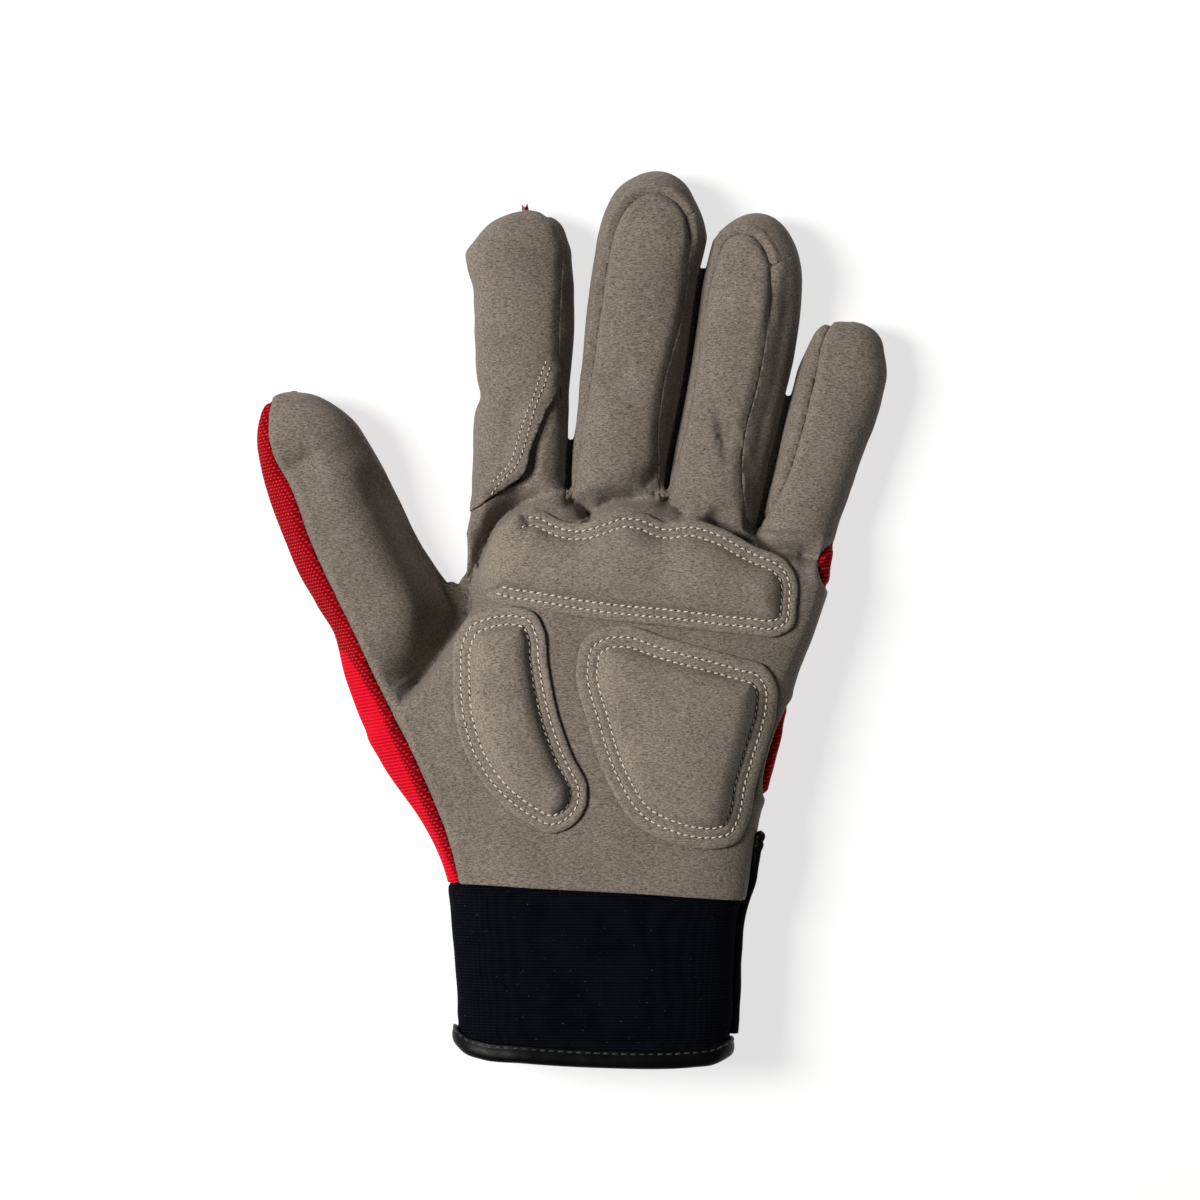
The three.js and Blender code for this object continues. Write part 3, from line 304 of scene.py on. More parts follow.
HEEL_PAD = {
    "name": "heel_pad", "at": 0.383, "across": 0.162, "width": 55.6, "length": 62.0, "bulge": 3.4,
    "rows": (3.2, 5.9), "shoulder": 4.6,
    "outline": (
        (-0.500, 0.319), (-0.470, 0.428), (-0.384, 0.486), (-0.258, 0.500), (-0.047, 0.444),
        (0.311, 0.356), (0.442, 0.317), (0.497, 0.243), (0.500, 0.107), (0.447, -0.064),
        (0.397, -0.222), (0.361, -0.380), (0.301, -0.471), (0.170, -0.500), (-0.031, -0.468),
        (-0.203, -0.389), (-0.334, -0.218), (-0.440, 0.053),
    ),
}
PADS = (KNUCKLE_PAD, THENAR_PAD, HEEL_PAD)


# Curves and fields

def hermite(xs, ys, x, steady=False):
    """Smooth curve through a table, with a slope at each row taken from its two neighbours.

    A steady curve never swings past the table's own values."""
    xs = np.asarray(xs, float)
    ys = np.asarray(ys, float)
    gap = np.diff(xs)
    rise = np.diff(ys) / gap
    slope = np.empty_like(ys)
    slope[0], slope[-1] = rise[0], rise[-1]
    slope[1:-1] = (rise[:-1] * gap[1:] + rise[1:] * gap[:-1]) / (gap[1:] + gap[:-1])
    if steady:
        most = np.where(rise[:-1] * rise[1:] > 0, 3 * np.minimum(np.abs(rise[:-1]), np.abs(rise[1:])), 0)
        slope[1:-1] = np.clip(slope[1:-1], -most, most)
    spot = np.clip(np.searchsorted(xs, x, side="right") - 1, 0, len(xs) - 2)
    share = np.clip((x - xs[spot]) / gap[spot], 0.0, 1.0)
    s2, s3 = share**2, share**3
    return (
        ys[spot] * (2 * s3 - 3 * s2 + 1)
        + slope[spot] * gap[spot] * (s3 - 2 * s2 + share)
        + ys[spot + 1] * (3 * s2 - 2 * s3)
        + slope[spot + 1] * gap[spot] * (s3 - s2)
    )


def running_length(line):
    """Distance along a line to each of its points."""
    return np.concatenate([[0.0], np.cumsum(np.linalg.norm(np.diff(line, axis=0), axis=1))])


def smooth_line(points, step, closed=False):
    """Evenly spaced points on a smooth curve through the given ones."""
    points = np.asarray(points, float)
    count = len(points)
    if closed:
        points = np.vstack([points[-3:], points, points[:4]])
    run = running_length(points)
    low, high = (run[3], run[3 + count]) if closed else (0.0, run[-1])
    fine = np.linspace(low, high, 40 * count)
    line = np.column_stack([hermite(run, points[:, k], fine) for k in range(points.shape[1])])
    length = running_length(line)
    spots = np.linspace(0.0, length[-1], max(2, int(round(length[-1] / step))) + 1)
    if closed:
        spots = spots[:-1]
    return np.column_stack([np.interp(spots, length, line[:, k]) for k in range(points.shape[1])])


def ramp(x, low, high):
    """0 below low, 1 above high, smooth between."""
    share = np.clip((x - low) / (high - low), 0.0, 1.0)
    return share * share * (3.0 - 2.0 * share)


def bell(distance, width):
    """1 at no distance, falling off smoothly over about the width."""
    return np.exp(-((distance / width) ** 2))


def smooth_min(a, b, width):
    share = np.clip(0.5 + 0.5 * (b - a) / width, 0.0, 1.0)
    return b * (1 - share) + a * share - width * share * (1 - share)


def smooth_max(a, b, width):
    return -smooth_min(-a, -b, width)


def lumps(points, size, seed, count=28):
    """A soft random field with unevenness of about the given size in millimetres, near -1 to 1."""
    draw = np.random.default_rng(seed)
    ways = draw.normal(size=(count, 3))
    ways /= np.linalg.norm(ways, axis=1)[:, None]
    waves = 2 * math.pi / (size * draw.uniform(1.3, 3.0, count))
    phases = draw.uniform(0, 2 * math.pi, count)
    total = np.zeros(len(points))
    for way, wave, phase in zip(ways, waves, phases):
        total += np.sin(points @ way * wave + phase)
    return total / math.sqrt(count / 2) / 1.6


def on_palm(at, across):
    y = at * PALM_LENGTH
    return PALM_LEAN * y + across * (WRIST_WIDTH + (KNUCKLE_WIDTH - WRIST_WIDTH) * at), y


def on_digit(digit, at, across):
    along = at * digit["length"]
    return digit["x"] + digit["lean"] * along + across * digit["width"], digit["y"] + along


edge = on_palm(1, -0.5)[0]
for digit in FINGERS:
    half_base = digit["width"] * next(row[2] for row in digit["rows"] if row[0] == 0)
    digit["x"], digit["y"] = edge + half_base, PALM_LENGTH
    edge += 2 * half_base + FINGER_GAP
THUMB["x"], THUMB["y"] = on_palm(*THUMB_ROOT)


class Loft:
    """Upright superellipse sections along y, read as a field: millimetres outside its skin."""

    def __init__(self, ys, middle_x, half, bottom, top, corner):
        self.low, self.high, self.corner = ys[0], ys[-1], corner
        self.y = np.linspace(ys[0], ys[-1], 900)
        self.x = hermite(ys, middle_x, self.y, True)
        self.half = np.sqrt(np.maximum(hermite(ys, np.square(half), self.y, True), 0.01))
        low, high = hermite(ys, bottom, self.y, True), hermite(ys, top, self.y, True)
        height = np.square((np.asarray(top) - np.asarray(bottom)) / 2)
        self.z = (low + high) / 2
        self.rise = np.sqrt(np.maximum(hermite(ys, height, self.y, True), 0.01))
        self.slopes = [np.gradient(v, self.y) for v in (self.x, self.half, self.z, self.rise)]

    def side(self, x, y):
        """Place across the section: -1 on its left side, 1 on its right."""
        return (x - np.interp(y, self.y, self.x)) / np.interp(y, self.y, self.half)

    def field(self, x, y, z):
        def at(values):
            return np.interp(y, self.y, values)

        n = self.corner
        half, rise = at(self.half), at(self.rise)
        slope_x, slope_half, slope_z, slope_rise = (at(s) for s in self.slopes)
        u = (x - at(self.x)) / half
        v = (z - at(self.z)) / rise
        au, av = np.abs(u), np.abs(v)
        size = np.maximum((au**n + av**n), 1e-9) ** (1 / n)
        gu = np.sign(u) * (au / size) ** (n - 1)
        gv = np.sign(v) * (av / size) ** (n - 1)
        gy = gu * (slope_x + u * slope_half) / half + gv * (slope_z + v * slope_rise) / rise
        level = (gu / half) ** 2 + (gv / rise) ** 2
        field = (size - 1) / np.sqrt(level + np.minimum(gy**2, 3 * level))
        return np.maximum(np.maximum(field, y - self.high), self.low - y)


def digit_loft(digit):
    rows = np.array(digit["rows"])
    along = rows[:, 0] * digit["length"]
    return Loft(
        digit["y"] + along,
        digit["x"] + digit["lean"] * along + rows[:, 1] * digit["width"],
        rows[:, 2] * digit["width"],
        rows[:, 3] * digit["depth"] - SINK,
        rows[:, 4] * digit["depth"],
        DIGIT_CORNER,
    )


def palm_loft():
    rows = np.array(PALM_ROWS)
    left = np.array([on_palm(at, -side)[0] for at, side in rows[:, :2]])
    right = np.array([on_palm(at, side)[0] for at, side in rows[:, [0, 2]]])
    return Loft(
        rows[:, 0] * PALM_LENGTH,
        (left + right) / 2,
        (right - left) / 2,
        rows[:, 3] * (CUFF_LIFT + SINK) - SINK,
        rows[:, 4] * PALM_DEPTH,
        PALM_CORNER,
    )


PALM_FORM = palm_loft()
DIGIT_FORMS = [digit_loft(digit) for digit in DIGITS]
# Half of the slot between neighbouring fingers, and where it starts off the palm and ends off the fingers.
SLOT = 0.85
SLOT_START = 1.2
SLOT_END = 2.2
# A digit's blend into the palm dies out between these shares, where both have their edges at one place.
FLUSH_FROM, FLUSH_TO, FLUSH_BLEND = 0.62, 0.88, 0.5
# Neighbouring fingers, and how far up the hand their sides touch; the height of that web and its size.
TOUCHING = ((0, 1, 125.0), (1, 2, 173.0), (2, 3, 137.5))
TOUCH_HEIGHT = 9.5
TOUCH_THICKNESS = 3.6
TOUCH_WIDTH = 3.2
TOUCH_OFF = 1.2


def hand_field(x, y, z):
    """The stuffed hand: palm and digits run together, with a slot between neighbouring fingers."""
    palm = PALM_FORM.field(x, y, z)
    palm_side = PALM_FORM.side(x, y)
    digits = [form.field(x, y, z) for form in DIGIT_FORMS]
    body = None
    for digit, form, field in zip(DIGITS, DIGIT_FORMS, digits):
        flush = ramp(palm_side * form.side(x, y), FLUSH_FROM, FLUSH_TO)
        joined = smooth_min(palm, field, digit["blend"] * (1 - flush) + FLUSH_BLEND * flush)
        body = joined if body is None else np.minimum(body, joined)
    for left, right, end in TOUCHING:
        near = np.minimum(digits[left], digits[right])
        apart = np.abs(digits[left] - digits[right]) / 2
        slot = np.minimum(SLOT, np.minimum((palm - SLOT_START) * 0.5, (SLOT_END - near) * 0.8))
        body = np.maximum(body, slot - apart)
        flat = np.maximum(np.abs(z - TOUCH_HEIGHT) - TOUCH_THICKNESS / 2, apart - TOUCH_WIDTH / 2)
        touch = np.maximum(flat, np.maximum(y - end, near - TOUCH_OFF))
        body = smooth_min(body, touch, 0.8)
    return smooth_max(body, REST_HEIGHT - z, 2.0)


def compact(count, faces):
    """The points that the faces use, out of a count, and the faces with the new numbers."""
    used = np.unique(faces)
    order = np.full(count, -1)
    order[used] = np.arange(len(used))
    return used, order[faces]


def edges_of(tris):
    return np.vstack([tris[:, [0, 1]], tris[:, [1, 2]], tris[:, [2, 0]]])


def grid_faces(index):
    """Two triangles for each cell of a grid of point numbers."""
    a, b, c, d = (part.ravel() for part in (index[:-1, :-1], index[1:, :-1], index[1:, 1:], index[:-1, 1:]))
    return np.vstack([np.column_stack([a, b, c]), np.column_stack([a, c, d])])


def near_plan(points, outline, margin):
    """Which points lie near an outline's box in plan."""
    low, high = outline.min(axis=0) - margin, outline.max(axis=0) + margin
    return np.all((points[:, :2] > low) & (points[:, :2] < high), axis=1)


def surface_net(low, high, step):
    """Quads on the zero level of hand_field, from a grid between two corners."""
    axes = [np.arange(a, b + step, step) for a, b in zip(low, high)]
    grid = hand_field(axes[0][:, None, None], axes[1][None, :, None], axes[2][None, None, :])
    shape = np.array(grid.shape)
    cells = shape - 1
    total = np.zeros((int(np.prod(cells)), 3))
    hits = np.zeros(int(np.prod(cells)))
    inside = grid < 0
    quads = []
    strides = np.array([cells[1] * cells[2], cells[2], 1])
    for axis in range(3):
        here = [slice(None)] * 3
        there = [slice(None)] * 3
        here[axis], there[axis] = slice(None, -1), slice(1, None)
        a, b = inside[tuple(here)], inside[tuple(there)]
        spots = np.argwhere(a != b)
        start = grid[tuple(here)][tuple(spots.T)]
        end = grid[tuple(there)][tuple(spots.T)]
        share = start / (start - end)
        place = spots.astype(float)
        place[:, axis] += share
        one, two = [k for k in range(3) if k != axis]
        corner = []
        for back_one, back_two in ((0, 0), (1, 0), (1, 1), (0, 1)):
            cell = spots.copy()
            cell[:, one] -= back_one
            cell[:, two] -= back_two
            kept = np.all((cell >= 0) & (cell < cells), axis=1)
            flat = cell @ strides
            flat[~kept] = -1
            np.add.at(total, flat[kept], place[kept])
            np.add.at(hits, flat[kept], 1)
            corner.append(flat)
        quad = np.column_stack(corner)
        outward = a[tuple(spots.T)]
        flip = ~outward if axis != 1 else outward
        quad[flip] = quad[flip][:, ::-1]
        quads.append(quad[np.all(quad >= 0, axis=1)])
    used, quads = compact(len(hits), np.vstack(quads))
    return total[used] / hits[used][:, None] * step + np.asarray(low), quads


PROBE = 0.05
LONGEST_MOVE = 0.6


def settle(points):
    """Moves points onto the hand's surface."""
    for _ in range(2):
        value = hand_field(*points.T)
        slope = np.empty_like(points)
        for axis in range(3):
            moved = points.copy()
            moved[:, axis] += PROBE
            slope[:, axis] = (hand_field(*moved.T) - value) / PROBE
        size = np.maximum(np.sum(slope**2, axis=1), 0.3)
        points = points - np.clip(value, -LONGEST_MOVE, LONGEST_MOVE)[:, None] * slope / size[:, None]
    return points


def triangles(points, quads):
    """Each quad split along its shorter diagonal."""
    a, b, c, d = (points[quads[:, k]] for k in range(4))
    first = np.sum((a - c) ** 2, axis=1) <= np.sum((b - d) ** 2, axis=1)
    one = np.where(first[:, None], quads[:, [0, 1, 2]], quads[:, [0, 1, 3]])
    two = np.where(first[:, None], quads[:, [0, 2, 3]], quads[:, [1, 2, 3]])
    return np.vstack([one, two])


def normals(points, tris):
    a, b, c = (points[tris[:, k]] for k in range(3))
    face = np.cross(b - a, c - a)
    total = np.zeros_like(points)
    for k in range(3):
        np.add.at(total, tris[:, k], face)
    return total / np.maximum(np.linalg.norm(total, axis=1), 1e-12)[:, None]


def plan_distance(points, outline, closed=True):
    """Distance in plan to a line, negative inside it when it is closed."""
    x, y = points[:, 0], points[:, 1]
    best = np.full(len(points), 1e9)
    inside = np.zeros(len(points), bool)
    ends = np.roll(outline, -1, axis=0) if closed else outline[1:]
    for (ax, ay), (bx, by) in zip(outline if closed else outline[:-1], ends):
        dx, dy = bx - ax, by - ay
        share = np.clip(((x - ax) * dx + (y - ay) * dy) / max(dx * dx + dy * dy, 1e-12), 0, 1)
        best = np.minimum(best, (x - ax - share * dx) ** 2 + (y - ay - share * dy) ** 2)
        if dy != 0:
            inside ^= ((ay > y) != (by > y)) & (x < ax + (y - ay) * dx / dy)
    distance = np.sqrt(best)
    return np.where(inside, -distance, distance) if closed else distance


def split(points, tris, labels, which, values, label, near=0.18):
    """Cuts the triangles of some labels along values = 0 and gives the negative side a new label."""
    points = points.copy()
    values = values.copy()
    chosen = np.isin(labels, which)
    work = tris[chosen]
    edges = np.unique(np.sort(edges_of(work), axis=1), axis=0)
    start, end = values[edges[:, 0]], values[edges[:, 1]]
    crossing = (start < 0) != (end < 0)
    edges, start, end = edges[crossing], start[crossing], end[crossing]
    share = start / (start - end)
    place = points[edges[:, 0]] * (1 - share)[:, None] + points[edges[:, 1]] * share[:, None]
    for column, close in ((0, share < near), (1, share > 1 - near)):
        spot = edges[close, column]
        points[spot] = place[close]
        values[spot] = 0.0
    sign = np.where(np.abs(values) < 1e-9, 0, np.sign(values)).astype(int)
    crossing = sign[edges[:, 0]] * sign[edges[:, 1]] < 0
    edges, place = edges[crossing], place[crossing]
    code = edges[:, 0].astype(np.int64) * (len(points) + 1) + edges[:, 1]
    order = np.argsort(code)
    code, place = code[order], place[order]
    new_points = np.vstack([points, place])
    new_values = np.concatenate([values, np.zeros(len(place))])
    base = len(points)

    def between(a, b):
        key = np.minimum(a, b).astype(np.int64) * (base + 1) + np.maximum(a, b)
        return base + np.searchsorted(code, key)

    signs = sign[work]
    plus, minus = np.sum(signs > 0, axis=1), np.sum(signs < 0, axis=1)
    out, tags = [], []
    whole = (plus == 0) | (minus == 0)
    out.append(work[whole])
    tags.append(np.where(minus[whole] > 0, label, labels[chosen][whole]))
    halved = (plus == 1) & (minus == 1)
    if halved.any():
        tri, sg, old = work[halved], signs[halved], labels[chosen][halved]
        turn = np.argmax(sg == 0, axis=1)
        rows = np.arange(len(tri))
        a, b, c = (tri[rows, (turn + k) % 3] for k in range(3))
        middle = between(b, c)
        b_minus = sg[rows, (turn + 1) % 3] < 0
        out += [np.column_stack([a, b, middle]), np.column_stack([a, middle, c])]
        tags += [np.where(b_minus, label, old), np.where(b_minus, old, label)]
    mixed = ~whole & ~halved
    if mixed.any():
        tri, sg, old = work[mixed], signs[mixed], labels[chosen][mixed]
        lone_plus = plus[mixed] == 1
        lone = np.where(lone_plus[:, None], sg > 0, sg < 0)
        turn = np.argmax(lone, axis=1)
        rows = np.arange(len(tri))
        a, b, c = (tri[rows, (turn + k) % 3] for k in range(3))
        ab, ac = between(a, b), between(a, c)
        tip = np.where(lone_plus, old, label)
        rest = np.where(lone_plus, label, old)
        out += [np.column_stack([a, ab, ac]), np.column_stack([ab, b, c]), np.column_stack([ab, c, ac])]
        tags += [tip, rest, rest]
    new_tris = np.vstack([tris[~chosen]] + out)
    new_labels = np.concatenate([labels[~chosen]] + tags)
    return new_points, new_tris, new_labels, new_values


# Regions in plan

def seam(table, digit=None, step=0.8):
    place = [on_digit(digit, *row) if digit else on_palm(*row) for row in table]
    return smooth_line(place, step)


def plan_point(digit, at, across):
    return np.array([on_digit(digit, at, across)])


index_side = seam(INDEX_SIDE_SEAM, INDEX)
index_lap = seam(INDEX_LAP_SEAM, INDEX)
lap_rows = [seam(row, INDEX) for row in LAP_ROWS]
lap_corner = np.array(on_digit(INDEX, 0.085, 0.06))
thumb_crotch = np.array(on_palm(0.74, -0.50))
middle_left = seam(MIDDLE_LEFT_SEAM, MIDDLE)
middle_right = seam(MIDDLE_RIGHT_SEAM, MIDDLE)
ring_left = seam(RING_LEFT_SEAM, RING)
ring_right = seam(RING_RIGHT_SEAM, RING)
little_left = seam(LITTLE_LEFT_SEAM, LITTLE)
RIDGED = (np.vstack([middle_left, middle_right[1:14]]), np.vstack([ring_left, ring_right[1:24]]))
thumb_back = smooth_line(
    [on_digit(THUMB, *row) for row in THUMB_BACK_SEAM] + [on_palm(*row) for row in PALM_BACK_SEAM], 0.8
)
upper_peek = seam(UPPER_PEEK_SEAM)
lower_peek = seam(LOWER_PEEK_SEAM)


def crotch(left, right, at):
    return np.array([[(left[0] + right[0]) / 2, at * PALM_LENGTH - CROTCH_WEB]])


crotches = [
    crotch(index_side[-1], middle_left[0], 1),
    crotch(middle_right[-1], ring_left[0], 1),
    crotch(ring_right[-1], little_left[0], LITTLE_CROTCH),
]
middle_split = plan_point(MIDDLE, 0.95, 0.75)
ring_split = plan_point(RING, 0.92, 0.75)
FAR = 400.0

REGIONS = {
    "index_panel": np.vstack([
        index_lap,
        index_side[index_side[:, 1] > index_lap[-1, 1]][::-1],
        plan_point(INDEX, 1.10, 0.2),
        plan_point(INDEX, 1.10, -0.8),
    ]),
    "fourchette_index_middle": np.vstack([
        index_side, crotches[0], middle_left, middle_split,
        plan_point(MIDDLE, 1.1, 0.6), plan_point(MIDDLE, 1.1, -0.6),
    ]),
    "fourchette_middle_ring": np.vstack([
        middle_right, crotches[1], ring_left, ring_split,
        plan_point(RING, 1.1, 0.6), plan_point(RING, 1.1, -0.5), middle_split,
    ]),
    "fourchette_ring_little": np.vstack([ring_right, crotches[2], little_left, ring_split]),
}
BACK_REGIONS = [
    np.vstack([thumb_back, [[-FAR, thumb_back[-1, 1]]], [[-FAR, thumb_back[0, 1]]]]),
    upper_peek,
    lower_peek,
]
wrist_x = np.array([on_palm(rise, 0)[0] + across * WRIST_WIDTH for across, rise in WRIST_LINE])
wrist_y = np.array([rise * PALM_LENGTH for _, rise in WRIST_LINE])


def wrist_at(x):
    return hermite(wrist_x, wrist_y, np.clip(x, wrist_x[0], wrist_x[-1]))


PANELS = ("palm_panel", "back_panel") + tuple(REGIONS)
BACK = 1
CUT_AWAY = 99
# Corners of the box that the hand's skin is looked for in.
HAND_BOX = (-98.0, -12.0, -1.2), (84.0, 203.0, 34.0)


# The seam's own unevenness, how far up from the base line it drops, and the reach of the thumb's dip.
SEAM_WANDER = 0.5
SEAM_DROP_RUN = 8.0
THUMB_DIP_REACH = 13.0


def side_seam(points):
    """Height of the seam along the hand's side: low on the sides where two fingers face each other."""
    height = SEAM_HEIGHT + SEAM_WANDER * lumps(points, 22.0, 5)
    x, y = points[:, 0], points[:, 1]
    for number, digit in enumerate(FINGERS):
        form = DIGIT_FORMS[number]
        share = form.side(x, y)
        facing = np.ones(len(points))
        if number == 0:
            facing = ramp(share, -0.2, 0.5)
        if number == 3:
            facing = ramp(-share, -0.2, 0.5)
        own = (np.abs(share) < 1.25) & (y > digit["y"] - 12.0)
        lowered = SEAM_HEIGHT - SEAM_DROP * facing * ramp(y, digit["y"] - SEAM_DROP_RUN, digit["y"])
        height = np.where(own, np.minimum(height, lowered), height)
    at_thumb = np.exp(-np.sum((points[:, :2] - thumb_crotch) ** 2, axis=1) / THUMB_DIP_REACH**2)
    return height - SEAM_DROP * np.minimum(1.3 * at_thumb, 1) * (height > 6)


def back_value(points):
    """Negative where the back fabric shows: below the side seam, and in three places above it."""
    best = points[:, 2] - side_seam(points)
    for outline in BACK_REGIONS:
        near = near_plan(points, outline, 6)
        value = plan_distance(points[near], outline)
        best[near] = np.minimum(best[near], value)
    return best


def hand_sheet(step):
    """The hand's skin, cut into panels: points, triangles and a panel number for each triangle."""
    points, quads = surface_net(*HAND_BOX, step)
    points = settle(points)
    tris = triangles(points, quads)
    labels = np.zeros(len(tris), int)
    values = points[:, 1] - wrist_at(points[:, 0])
    points, tris, labels, _ = split(points, tris, labels, [0], values, CUT_AWAY)
    tris, labels = tris[labels != CUT_AWAY], labels[labels != CUT_AWAY]
    points, tris, labels, _ = split(points, tris, labels, [0], back_value(points), BACK)
    for number, outline in enumerate(REGIONS.values(), start=2):
        near = near_plan(points, outline, 3)
        values = np.full(len(points), 3.0)
        values[near] = plan_distance(points[near], outline)
        points, tris, labels, _ = split(points, tris, labels, [0], values, number)
    used, tris = compact(len(points), tris)
    return points[used], tris, labels



# Folds, dents and soft ridges of the hand: points in the frame's plan (mm), how far it spreads to the
# left and right of its line, its depth (negative for a ridge), and the share of it left at each end.
FOLDS = (
    (((-48.5, -25.0), (-44.5, -20.5), (-39.5, -14.5), (-33.5, -5.5), (-30.0, -0.5), (-28.8, 3.0)),
     8.5, 1.3, 13.5, 0.15, 1.0),
    (((-68.5, 47.0), (-62.0, 38.0), (-56.5, 29.5), (-51.5, 20.5), (-47.0, 10.0), (-45.0, 1.5),
      (-46.0, -7.5), (-47.5, -18.0)), 4.0, 12.0, -2.2, 0.2, 0.4),
    (((-56.7, 46.6), (-52.8, 39.6), (-49.1, 32.6), (-45.8, 25.6), (-42.1, 18.6), (-36.8, 11.6),
      (-32.6, 6.9)), 10.0, 8.0, 13.0, 0.3, 0.9),
    (((-27.8, 10.0), (-26.6, 14.0), (-24.2, 20.0), (-21.2, 26.0), (-17.0, 29.8), (-12.5, 31.8),
      (-7.5, 33.8), (-4.0, 35.0)), 4.2, 0.9, 15.0, 0.45, 0.12),
    (((-81.5, 39.5), (-78.0, 41.5), (-74.0, 44.0), (-69.0, 46.0)), 3.0, 6.0, 3.0, 0.6, 0.2),
    (((-26.0, 61.5), (-22.5, 59.5), (-18.0, 58.0), (-12.0, 57.5)), 3.0, 4.5, 2.8, 1.0, 0.1),
    (((5.0, 28.5), (8.0, 30.5), (12.0, 32.0), (17.0, 32.6), (20.5, 32.9), (23.0, 33.3)),
     3.6, 0.9, 9.0, 0.6, 0.5),
    (((0.5, 32.0), (4.0, 30.0), (4.8, 27.8)), 2.0, 1.6, 6.5, 0.8, 1.0),
    (((27.0, 32.5), (30.0, 30.5), (33.0, 27.5)), 1.2, 2.6, 5.0, 1.0, 0.2),
    (((36.0, 27.5), (40.0, 25.8), (44.0, 22.8), (49.0, 20.8)), 3.6, 0.8, 8.5, 0.3, 1.0),
    (((51.5, 23.0), (54.0, 19.8), (58.5, 18.0), (63.0, 17.2), (67.0, 16.4), (71.0, 15.0)),
     2.4, 1.0, 6.0, 1.0, 0.25),
    (((62.5, 17.4), (66.0, 16.6), (69.5, 15.4)), 2.2, 3.2, 2.0, 0.2, 0.3),
    (((47.5, 52.0), (44.0, 50.5), (39.5, 49.5)), 6.5, 7.5, 2.3, 0.45, 0.1),
    (((8.0, 63.0), (13.0, 67.0), (19.0, 70.0)), 4.0, 5.0, 1.6, 0.1, 0.1),
    (((19.5, 35.0), (22.5, 39.0), (23.8, 43.0)), 3.4, 2.6, 3.0, 0.3, 0.3),
)
CREASE = 1.3
# A fold sinks the top fully and dies out down the sides, between these heights.
FOLD_HEIGHTS = (3.0, 21.0)


def top_of(x, y, low=2.0, high=34.0):
    """Height of the hand's upper skin over points in plan; nan where there is none."""
    levels = np.arange(high, low, -0.8)
    found = np.full(len(x), np.nan)
    above = hand_field(x, y, np.full(len(x), high))
    for level in levels:
        value = hand_field(x, y, np.full(len(x), level))
        hit = np.isnan(found) & (value < 0)
        found[hit] = level + 0.8 * (-value[hit]) / np.maximum(above[hit] - value[hit], 1e-9)
        above = value
    return found


def sag(points):
    """The low, soft unevenness that pads and panels share."""
    return 0.30 * lumps(points, 24.0, 11) + 0.10 * lumps(points, 9.0, 12)


def rising(z):
    """0 at the lower height of a fold, 1 at its upper one."""
    return np.clip((z - FOLD_HEIGHTS[0]) / (FOLD_HEIGHTS[1] - FOLD_HEIGHTS[0]), 0.0, 1.0)


def fold_depth(points):
    total = np.zeros(len(points))
    frame_plan = points[:, :2] + TO_FRAME[:2]
    for places, spread_left, spread_right, depth, first, last in FOLDS:
        line = smooth_line(places, 0.6)
        near = near_plan(frame_plan, line, 3 * max(spread_left, spread_right))
        near &= points[:, 2] > FOLD_HEIGHTS[0]
        spot = np.flatnonzero(near)
        if not len(spot):
            continue
        away = frame_plan[spot][:, None, :] - line[None, :, :]
        nearest = np.argmin(np.sum(away**2, axis=2), axis=1)
        way = np.gradient(line, axis=0)
        way /= np.linalg.norm(way, axis=1)[:, None]
        away = away[np.arange(len(spot)), nearest]
        side = way[nearest, 0] * away[:, 1] - way[nearest, 1] * away[:, 0]
        distance = np.linalg.norm(away, axis=1)
        spread = np.where(side > 0, spread_left, spread_right)
        run = nearest / (len(line) - 1)
        taper = (first + (1 - first) * ramp(run, 0, 0.35)) * (last + (1 - last) * ramp(1 - run, 0, 0.35))
        sinking = rising(points[spot, 2])
        profile = np.exp(-((distance / spread) ** (CREASE if depth > 0 else 2.0)))
        total[spot] += depth * taper * sinking * profile
    return total


def boundary_tree(points, tris, labels):
    """Tree of points along the seams, and the same for the lapped seam of the index finger alone."""
    edges = edges_of(tris)
    tags = np.tile(labels, 3)
    edges.sort(axis=1)
    order = np.lexsort((edges[:, 1], edges[:, 0]))
    edges, tags = edges[order], tags[order]
    pair = np.all(edges[1:] == edges[:-1], axis=1) & (tags[1:] != tags[:-1])
    ends, one, two = edges[:-1][pair], tags[:-1][pair], tags[1:][pair]
    lapped = (np.minimum(one, two) == 0) & (np.maximum(one, two) == 2)
    sewn_on = np.minimum(one, two) < 3
    ends, lapped = ends[sewn_on], lapped[sewn_on]
    trees = []
    for kept in (ends[~lapped], ends[lapped]):
        spots = np.vstack([points[kept[:, 0]] * (1 - t) + points[kept[:, 1]] * t for t in (0.0, 0.5)])
        tree = KDTree(len(spots))
        for number, spot in enumerate(spots):
            tree.insert(spot, number)
        tree.balance()
        trees.append(tree)
    return trees


def tree_distance(points, tree, reach):
    distance = np.full(len(points), reach)
    for number, point in enumerate(points):
        found = tree.find(point)[2]
        if found is not None and found < reach:
            distance[number] = found
    return distance


LIFT_REACH = 8.0


def lifted(points):
    """1 at the corner of the index finger's lap, where its edge stands off the palm."""
    return np.exp(-np.sum((points[:, :2] - lap_corner) ** 2, axis=1) / LIFT_REACH**2)


# How far a finger's side falls away past its right seam, and the distances over which it does.
FALL = 3.0
FALL_FROM, FALL_TO = -3.5, 5.0


